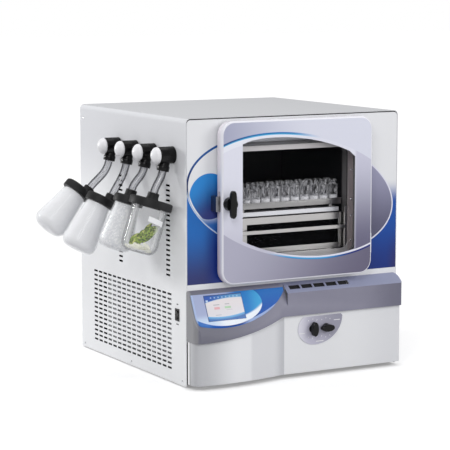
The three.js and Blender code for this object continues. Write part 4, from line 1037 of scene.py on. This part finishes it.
def add_tray():
    """A folded tray with a rolled front lip, on two runners."""
    left, right, front, back = TRAY["left"], TRAY["right"], TRAY["front"], TRAY["back"]
    low, top = TRAY["bottom"], TRAY["bottom"] + TRAY["height"]
    tray = block("tray", (left, front, low), (right, back, top), 2.0)
    sheet = TRAY_SHEET
    inner_low = (left + sheet, front + sheet, low + sheet)
    inner_high = (right - sheet, back - sheet, top + 10)
    cut(tray, block("hollow", inner_low, inner_high, 1.5))
    runners = [block("runner", (x, front + 6, low - 7.5), (x + 10, back - 20, low + 1)) for x in (198, 503)]
    lip = block("lip", (left, front - 1.2, top - 3), (right, front + 0.8, top), 0.6)
    tray = placed(joined(tray, *runners, lip), 0, 0, 0)
    finished(tray, "sample_tray_shell", "cabinet",
             steel("tray_steel", tint(160, 159, 158), (80, 1, 1)), 30, ("sample_tray",))


def add_vials():
    """Rows of open glass vials, each with a white cake in its bottom."""
    r, h = VIAL_RADIUS, VIAL_HEIGHT
    wall = 1.2
    shoulder = h * 0.79
    neck = r * 0.62
    lip = r * 0.76
    glass = turned("vial", [
        (0, 0), (r - 1.5, 0), (r, 1.5), (r, shoulder - 3), (r - 1.2, shoulder), (neck + 0.8, shoulder + 4),
        (neck, shoulder + 5.5), (neck, h - 6.5), (lip, h - 5.5), (lip, h - 0.8), (lip - 0.8, h),
        (neck - wall, h), (neck - wall, shoulder + 4), (r - 2.4, shoulder - 1), (r - wall, shoulder - 4),
        (r - wall, 2.6), (0, 2.0)], 24)
    cake = turned("cake", [(0, 2.1), (r - 1.5, 2.7), (r - 1.5, 24), (r - 3.5, 25.2), (0, 24.4)], 20)
    floor = TRAY["bottom"] + 1.6
    spread = (VIALS_ACROSS - 1) * VIAL_PITCH
    first = (TRAY["left"] + TRAY["right"] - spread) / 2
    glasses, cakes = [], []
    for row in range(2):
        for i in range(VIALS_ACROSS):
            spot = (first + i * VIAL_PITCH, TRAY["front"] + 20 + row * VIAL_PITCH, floor)
            glasses.append(placed(copied(glass), *spot))
            cakes.append(placed(copied(cake), *spot))
    finished(joined(*glasses), "vials", "cabinet", VIAL, 35)
    cake_white = plain_white("dried_cake", tint(254, 254, 255), 5)
    finished(joined(*cakes), "vial_cakes", "cabinet", cake_white, 35)
    for start in (glass, cake):
        bpy.data.objects.remove(start)


# ---------------------------------------------------------------- side manifold and flasks

def add_valves():
    """Four black barrels with their spouts, each with a white cap that turns."""
    for i in range(len(FLASKS)):
        y = FIRST_VALVE_Y + i * VALVE_PITCH
        number = i + 1
        barrel = turned("barrel", [
            (0, 0.4), (VALVE_RADIUS, 0.4), (VALVE_RADIUS, 3), (VALVE_RADIUS - 0.6, 3.6),
            (VALVE_RADIUS - 0.6, 5), (VALVE_RADIUS, 5.6), (VALVE_RADIUS, VALVE_LENGTH - 3),
            (VALVE_RADIUS - 1, VALVE_LENGTH - 1), (VALVE_RADIUS - 3, VALVE_LENGTH), (0, VALVE_LENGTH)])
        spout = turned("spout", [
            (0, 6), (15.5, 6), (15.5, -SPOUT_DROP + 18), (17.4, -SPOUT_DROP + 15), (18, -SPOUT_DROP + 13),
            (18, -SPOUT_DROP + 2), (17, -SPOUT_DROP), (12.3, -SPOUT_DROP), (12.3, -SPOUT_DROP + 15),
            (0, -SPOUT_DROP + 15)], 40)
        body = joined(placed(barrel, 0, y, VALVE_AXIS_Z, OUTWARD),
                      placed(spout, -SPOUT_REACH, y, VALVE_AXIS_Z, Matrix.Rotation(SPOUT_LEAN, 3, "Y")))
        finished(body, f"valve_barrel_{number}", "cabinet", BLACK, 35,
                 (f"valve_body_{number}",))

        face = VALVE_LENGTH + 0.3
        cap = turned("cap", [
            (0, face), (21.5, face), (24, face + 1.5), (VALVE_RADIUS, face + 4), (24.4, face + 8),
            (21.8, face + 12.5), (17.4, face + 16.8), (11.5, face + 20), (7, face + 21.8), (3.5, face + 22.7),
            (0, face + CAP_LENGTH + 2)], 16)
        modified(cap, "BEVEL", width=1.6 * MM, segments=3, limit_method="ANGLE", angle_limit=math.radians(12))
        nub = block("nub", (-4.5, -4, -5), (4.5, 4, 5), 1.4)
        nub = placed(nub, -face - 6.5, y + 25, VALVE_AXIS_Z)
        knob = joined(placed(cap, 0, y, VALVE_AXIS_Z, OUTWARD), nub)
        finished(knob, f"valve_cap_{number}", f"valve_handle_{number}", WHITE, 35,
                 (f"valve_knob_{number}",))


def flask_frame(i):
    """The flask's own frame on the machine: its lid's middle at the origin, its mouth up Z."""
    flask = FLASKS[i]
    lean = Matrix.Rotation(math.radians(flask["lean"]), 3, "Y")
    centre = (-flask["reach"], FIRST_VALVE_Y + i * VALVE_PITCH, VALVE_AXIS_Z - flask["drop"])
    return centre, lean


def add_tube(i):
    """A bent tube from inside the spout to inside the lid's collar."""
    flask = FLASKS[i]
    centre, lean = flask_frame(i)
    axis = lean @ Vector((0, 0, 1))
    side = lean @ Vector((1, 0, 0))
    y = centre[1]
    top = Vector(centre) + axis * (LID_HEIGHT / 2 + COLLAR_HEIGHT) + side * flask["port"]
    outward = Vector((-math.sin(SPOUT_LEAN), 0, -math.cos(SPOUT_LEAN)))
    root = Vector((-SPOUT_REACH, y, VALVE_AXIS_Z))
    start = root + outward * (SPOUT_DROP - TUBE_GRIP + 0.5)
    mouth = root + outward * (SPOUT_DROP + 2)
    entry = top + axis * 2
    end = top - axis * (TUBE_GRIP - 0.5)
    pull = (entry - mouth).length * 0.4
    curve = bpy.data.curves.new("tube", "CURVE")
    curve.dimensions = "3D"
    curve.resolution_u = 16
    curve.bevel_resolution = 8
    curve.bevel_depth = (TUBE_RADIUS - 0.2) * MM
    spline = curve.splines.new("BEZIER")
    spline.bezier_points.add(3)
    straight = (mouth - start) / 3
    last = (end - entry) / 3
    knots = [(start - straight, start, start + straight), (mouth - straight, mouth, mouth + outward * pull),
             (entry + axis * pull, entry, entry + last), (end - last, end, end + last)]
    for point, (before, here, after) in zip(spline.bezier_points, knots):
        point.handle_left_type = point.handle_right_type = "FREE"
        point.handle_left, point.co, point.handle_right = (at(*spot) for spot in (before, here, after))
    piece = bpy.data.objects.new("tube", curve)
    bpy.context.scene.collection.objects.link(piece)
    alone(piece)
    bpy.ops.object.convert(target="MESH")
    piece = bpy.context.object
    modified(piece, "SOLIDIFY", thickness=2.3 * MM, offset=-1)
    number = i + 1
    finished(piece, f"bent_tube_{number}", "cabinet", TUBE, 60, (f"adapter_tube_{number}",))


def add_lid(i):
    """A rubber lid pulled over the flask's mouth, with the collar that takes the tube."""
    flask = FLASKS[i]
    centre, lean = flask_frame(i)
    half = LID_HEIGHT / 2
    outer, mouth, port = flask["lid"], flask["mouth"], flask["port"]
    shell = turned("lid", [
        (0, half - 8), (mouth + 0.3, half - 8), (mouth + 0.3, -half), (outer - 1.5, -half),
        (outer, -half + 1.5), (outer, half - 5), (outer - 1.2, half - 2), (outer - 4, half),
        (outer - 9, half), (outer - 10, half - 1), (outer - 16, half - 1), (0, half - 0.6)], 64)
    collar = turned("collar", [
        (TUBE_RADIUS + 0.6, half - 2), (TUBE_RADIUS + 7, half - 1), (TUBE_RADIUS + 6, half + 3),
        (TUBE_RADIUS + 5, half + 6), (TUBE_RADIUS + 5, half + COLLAR_HEIGHT - 1.5),
        (TUBE_RADIUS + 3.8, half + COLLAR_HEIGHT), (TUBE_RADIUS + 0.6, half + COLLAR_HEIGHT),
        (TUBE_RADIUS + 0.6, half - 2)], 40)
    moved = Vector(centre) + lean @ Vector((port, 0, 0))
    lid = joined(placed(shell, *centre, lean), placed(collar, *moved, lean))
    number = i + 1
    finished(lid, f"rubber_lid_{number}", "cabinet", RUBBER, 35, (f"flask_lid_{number}",))


def flask_profile(flask, inset=0.0, rim=3.7):
    """Outside of a flask, or its inside when inset by the wall, from the bottom's middle up."""
    base, mouth, bottom = flask["base"], flask["mouth"], -flask["length"]
    foot = base - FLASK_FILLET
    curve = arc(foot, bottom + FLASK_FILLET, FLASK_FILLET - inset, -90, 0, 10)
    start = [(0, bottom + FLASK_FLOOR + inset)]
    if not inset:
        start += [(foot * 0.5, bottom + FLASK_FLOOR), (foot * 0.62, bottom + 0.8), (foot * 0.75, bottom)]
    return [*start, *curve, (mouth - inset, FLASK_SHOULDER), (mouth - inset, rim)]


def add_flask(i, material):
    """The flask's glass, one closed wall that is open at the mouth."""
    flask = FLASKS[i]
    centre, lean = flask_frame(i)
    outside = flask_profile(flask)
    inside = flask_profile(flask, FLASK_WALL)
    glass = placed(turned("flask", outside + inside[::-1], 64), *centre, lean)
    number = i + 1
    finished(glass, f"flask_glass_{number}", "cabinet", material, 40, (f"flask_{number}",))


def add_frozen_fill(i, name, material, rough):
    """A frozen layer that lines the flask's inside."""
    flask = FLASKS[i]
    centre, lean = flask_frame(i)
    outside = flask_profile(flask, 3.0, rim=-14)
    lining = turned("fill", outside + [(0, -14)], 64)
    if rough:
        grain = bpy.data.textures.new("ice", "CLOUDS")
        grain.noise_scale = 0.009
        modified(lining, "DISPLACE", texture=grain, strength=-2.5 * MM, mid_level=0.0, texture_coords="LOCAL")
    finished(placed(lining, *centre, lean), name, "cabinet", material, 60)


def leaf(length, width, curl):
    """A pointed leaf about its own origin, folded along its middle and curled."""
    steps = 8
    points, faces = [], []
    for i in range(steps + 1):
        share = i / steps
        half = width * math.sin(math.pi * min(1, share * 0.96 + 0.04)) ** 0.7 / 2
        drop = curl * share * share * length
        for side in (-1, -0.5, 0, 0.5, 1):
            points.append((side * half, abs(side) * half * 0.5, share * length - drop * 0.3))
    for i in range(steps):
        for j in range(4):
            a = i * 5 + j
            faces.append((a, a + 1, a + 6, a + 5))
    piece = from_points("leaf", points, faces=faces)
    modified(piece, "SOLIDIFY", thickness=0.8 * MM)
    return piece


def held_in_flask(piece, i, gap):
    """Presses what would stick out through a flask's wall or bottom back against its inside."""
    flask = FLASKS[i]
    centre, lean = flask_frame(i)
    alone(piece)
    bpy.ops.object.transform_apply(location=True, rotation=True, scale=True)
    from_flask = Matrix.Translation(at(*centre)) @ lean.to_4x4()
    to_flask = from_flask.inverted()
    bottom = -flask["length"]
    foot = flask["base"] - FLASK_FILLET
    side_length = FLASK_SHOULDER - bottom - FLASK_FILLET
    for vertex in piece.data.vertices:
        x, y, z = (to_flask @ vertex.co) / MM
        z = max(z, bottom + FLASK_FLOOR + FLASK_WALL + gap)
        below = bottom + FLASK_FILLET - z
        if below > 0:
            room = foot + math.sqrt(max(0, (FLASK_FILLET - FLASK_WALL) ** 2 - below ** 2)) - gap
        else:
            side_radius = flask["base"] + (flask["mouth"] - flask["base"]) * -below / side_length
            room = side_radius - FLASK_WALL - gap
        share = min(1, room / max(0.001, math.hypot(x, y)))
        vertex.co = from_flask @ (Vector((x * share, y * share, z)) * MM)
    return piece


def add_sample(i):
    """Fresh leaves and pale root pieces at the bottom of the clear flask."""
    centre, lean = flask_frame(i)
    chance = random.Random(11)
    bottom = -FLASKS[i]["length"]
    leaves = []
    leaf_count = 26
    for n in range(leaf_count):
        piece = leaf(chance.uniform(34, 62), chance.uniform(14, 24), chance.uniform(0.1, 0.5))
        share = n / (leaf_count - 1)
        tilt = Matrix.Rotation(math.radians(chance.uniform(20, 48)), 3, "Y")
        spin = Matrix.Rotation(math.radians(chance.uniform(-50, 50)), 3, "Z")
        spot = Vector((-22 + 34 * share + chance.uniform(-5, 5), chance.uniform(-16, 16),
                       bottom + 14 + 40 * share))
        place = Vector(centre) + lean @ spot
        leaves.append(placed(piece, *place, turn=lean @ spin @ tilt))
    sprig = held_in_flask(joined(*leaves), i, 1.2)
    finished(sprig, "green_leaves", "cabinet", leaf_green(), 50)
    roots = []
    for n in range(14):
        root = turned("root", [(0, 0), (4.5, 1.5), (6, 10), (5, 20), (2.5, 28), (0, 30)], 14)
        tilt = Matrix.Rotation(math.radians(chance.uniform(60, 115)), 3, "Y")
        spin = Matrix.Rotation(math.radians(chance.uniform(-180, 180)), 3, "Z")
        spot = Vector((chance.uniform(-26, 24), chance.uniform(-34, 4), bottom + chance.uniform(10, 22)))
        roots.append(placed(root, *(Vector(centre) + lean @ spot), turn=lean @ spin @ tilt))
    finished(held_in_flask(joined(*roots), i, 0.8), "pale_roots", "cabinet",
             plain_white("root_cream", tint(246, 246, 230), 8), 50)


def add_label(i):
    """A blank white label on the clear flask's front, bent to the glass."""
    flask = FLASKS[i]
    centre, lean = flask_frame(i)
    radius = flask["base"] + 0.35
    across, down = 9, 3
    first_angle, turned_through = -112, 56
    top, label_height, slant = -37, 15, 7
    points, faces = [], []
    for row in range(down + 1):
        for column in range(across + 1):
            angle = math.radians(first_angle + turned_through * column / across)
            height = top - label_height * row / down - slant * column / across
            points.append((radius * math.cos(angle), radius * math.sin(angle), height))
    for row in range(down):
        for column in range(across):
            a = row * (across + 1) + column
            faces.append((a, a + across + 1, a + across + 2, a + 1))
    label = from_points("label", points, faces=faces)
    modified(label, "SOLIDIFY", thickness=0.25 * MM, offset=0)
    finished(placed(label, *centre, lean), "blank_label", "cabinet",
             plain_white("label_white", tint(240, 241, 243), 12), 40)


def add_graduations(i):
    """Short dark dashes up two sides of the clear flask."""
    flask = FLASKS[i]
    centre, lean = flask_frame(i)
    face = flask["base"]
    highest, pitch, half_width, thickness = -64, 10.5, 2.2, 1.6
    dashes = []
    for angle in (-150, -30):
        for n in range(7):
            low = highest - n * pitch
            dash = block("dash", (face + 0.05, -half_width, low), (face + 0.45, half_width, low + thickness))
            turn = lean @ Matrix.Rotation(math.radians(angle), 3, "Z")
            dashes.append(placed(dash, *centre, turn=turn))
    finished(joined(*dashes), "flask_dashes", "cabinet", RUBBER)


# ---------------------------------------------------------------- switch, feet and the hidden machinery

def dress_small_parts():
    """The switch, the inlet, the pipes, the feet and the machinery behind the panels."""
    refined("switch_frame", "switch_frame_rim", BLACK, 0.3)
    refined("power_rocker", "power_rocker_cap", BLACK, 0.3)
    refined("power_inlet", "power_inlet_socket", BLACK, 0.3)
    refined("vacuum_port", "vacuum_port_pipe", STEEL_TURNED, 0.4)
    for spot in ("front_left", "front_right", "rear_left", "rear_right"):
        refined(f"foot_{spot}", f"rubber_foot_{spot}", RUBBER, 0.5)
    refined("collector", "collector_vessel", STEEL_UPRIGHT)
    refined("manifold_header", "manifold_header_pipe", STEEL_TURNED)
    refined("compressor", "compressor_shell", enamel("compressor_black", tint(30, 31, 33)))
    refined("condenser", "condenser_fins", aluminium())
    refined("fan_motor", "fan_motor_can", enamel("motor_black", tint(42, 43, 46)))
    refined("cooling_fan", "cooling_fan_blades", BLACK)
    # marks over and under the switch, and the two positions
    marks = [placed(block("mark", (-0.4, -5, -1.6), (-0.05, 5, 1.6)), 0, 54, 237),
             placed(block("mark", (-0.4, -7, -1.6), (-0.05, 7, 1.6)), 0, 54, 178)]
    mark_grey = enamel("mark_grey", tint(70, 72, 78))
    finished(joined(*marks), "switch_marks", "cabinet", mark_grey)


# ---------------------------------------------------------------- stage

def add_stage():
    """A pale floor that takes the machine's soft shadow and runs out to plain white."""
    bpy.ops.object.select_all(action="DESELECT")
    bpy.ops.mesh.primitive_plane_add(size=60, location=(0, 0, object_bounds()[0][2]))
    floor = bpy.context.object
    floor.name = "floor"
    look = Look("floor_white", roughness=1.0, Specular_IOR_Level=0.0)
    path = look.node("ShaderNodeLightPath")
    camera_ray = Field(look, path.outputs["Is Camera Ray"])
    glossy_ray = Field(look, path.outputs["Is Glossy Ray"])
    through_ray = Field(look, path.outputs["Is Transmission Ray"])
    seen = look.most(camera_ray, look.most(glossy_ray, through_ray))
    reach = look.node("ShaderNodeVectorMath", operation="LENGTH")
    look.wire(look.position, reach.inputs[0])
    far = Field(look, reach.outputs["Value"]).rise(0.75, 1.5)
    near_colour = look.mix(seen, (0.55, 0.55, 0.56, 1), (0.92, 0.92, 0.925, 1))
    look.set("Base Color", look.mix(far * seen, near_colour, (0, 0, 0, 1)))
    look.set("Emission Color", (1, 1, 1, 1))
    look.set("Emission Strength", seen * (0.26 + far * 0.8))
    floor.data.materials.append(look.material)


def add_world():
    """An even white room, full where it is seen and half as bright as a light."""
    world = bpy.data.worlds.new("studio")
    world.use_nodes = True
    bpy.context.scene.world = world
    nodes, links = world.node_tree.nodes, world.node_tree.links
    path = nodes.new("ShaderNodeLightPath")
    seen = nodes.new("ShaderNodeMath")
    seen.operation = "MAXIMUM"
    links.new(path.outputs["Is Camera Ray"], seen.inputs[0])
    links.new(path.outputs["Is Transmission Ray"], seen.inputs[1])
    strength = nodes.new("ShaderNodeMapRange")
    links.new(seen.outputs[0], strength.inputs["Value"])
    strength.inputs["To Min"].default_value = 0.5
    strength.inputs["To Max"].default_value = 1.0
    background = nodes["Background"]
    background.inputs["Color"].default_value = (1, 1, 1, 1)
    links.new(strength.outputs[0], background.inputs["Strength"])


def add_lamp(name, place, aim, size, power):
    """A rectangular lamp at a place in metres, turned towards aim."""
    data = bpy.data.lights.new(name, "AREA")
    data.shape = "RECTANGLE"
    data.size, data.size_y = size
    data.energy = power
    lamp = bpy.data.objects.new(name, data)
    bpy.context.scene.collection.objects.link(lamp)
    lamp.location = place
    lamp.rotation_euler = (Vector(aim) - Vector(place)).to_track_quat("-Z", "Y").to_euler()


def add_camera():
    """A long lens from the front left, a little above the machine."""
    data = bpy.data.cameras.new("camera")
    data.sensor_width = 36
    data.lens = 147.49
    camera = bpy.data.objects.new("camera", data)
    bpy.context.scene.collection.objects.link(camera)
    camera.location = at(-2461.7, -4647.9, 1174.4)
    camera.rotation_euler = (math.radians(90 - 7.556), 0, math.radians(-29.132))
    bpy.context.scene.camera = camera


# ---------------------------------------------------------------- assembly

add_camera()
dress_cabinet()
add_screws()
dress_knobs()
add_door()
dress_latch_and_hinges()
dress_chamber()
add_tray()
add_vials()
add_valves()
FROST = frosted_glass()
for index in range(len(FLASKS)):
    add_tube(index)
    add_lid(index)
add_flask(0, GLASS)
add_sample(0)
add_label(0)
add_graduations(0)
add_flask(1, FROSTED_SKIN)
add_frozen_fill(1, "crystal_fill", ice_crystals(), True)
for index in (2, 3):
    add_flask(index, FROSTED_SKIN)
    add_frozen_fill(index, f"frost_fill_{index}", FROST, False)
dress_small_parts()

add_stage()
add_world()
add_lamp("key", (-3.0, -3.8, 3.4), (0, 0, 0.4), (2.6, 2.6), 83)
add_lamp("fill", (3.4, -3.8, 2.2), (0, 0, 0.4), (2.4, 2.4), 76)
add_lamp("side", (-2.4, 2.6, 1.2), (-0.3, 0, 0.35), (0.5, 0.5), 40)
add_lamp("over_side", (-0.95, 0.35, 2.9), (-0.25, 0, 0.5), (0.4, 0.4), 7)
add_lamp("top", (0, 0.2, 4.2), (0, 0, 0.4), (3.0, 3.0), 30)

scene = bpy.context.scene
scene.view_settings.view_transform = "Standard"
scene.cycles.transparent_max_bounces = 32          # rays pass the door, the vials and the flasks' walls
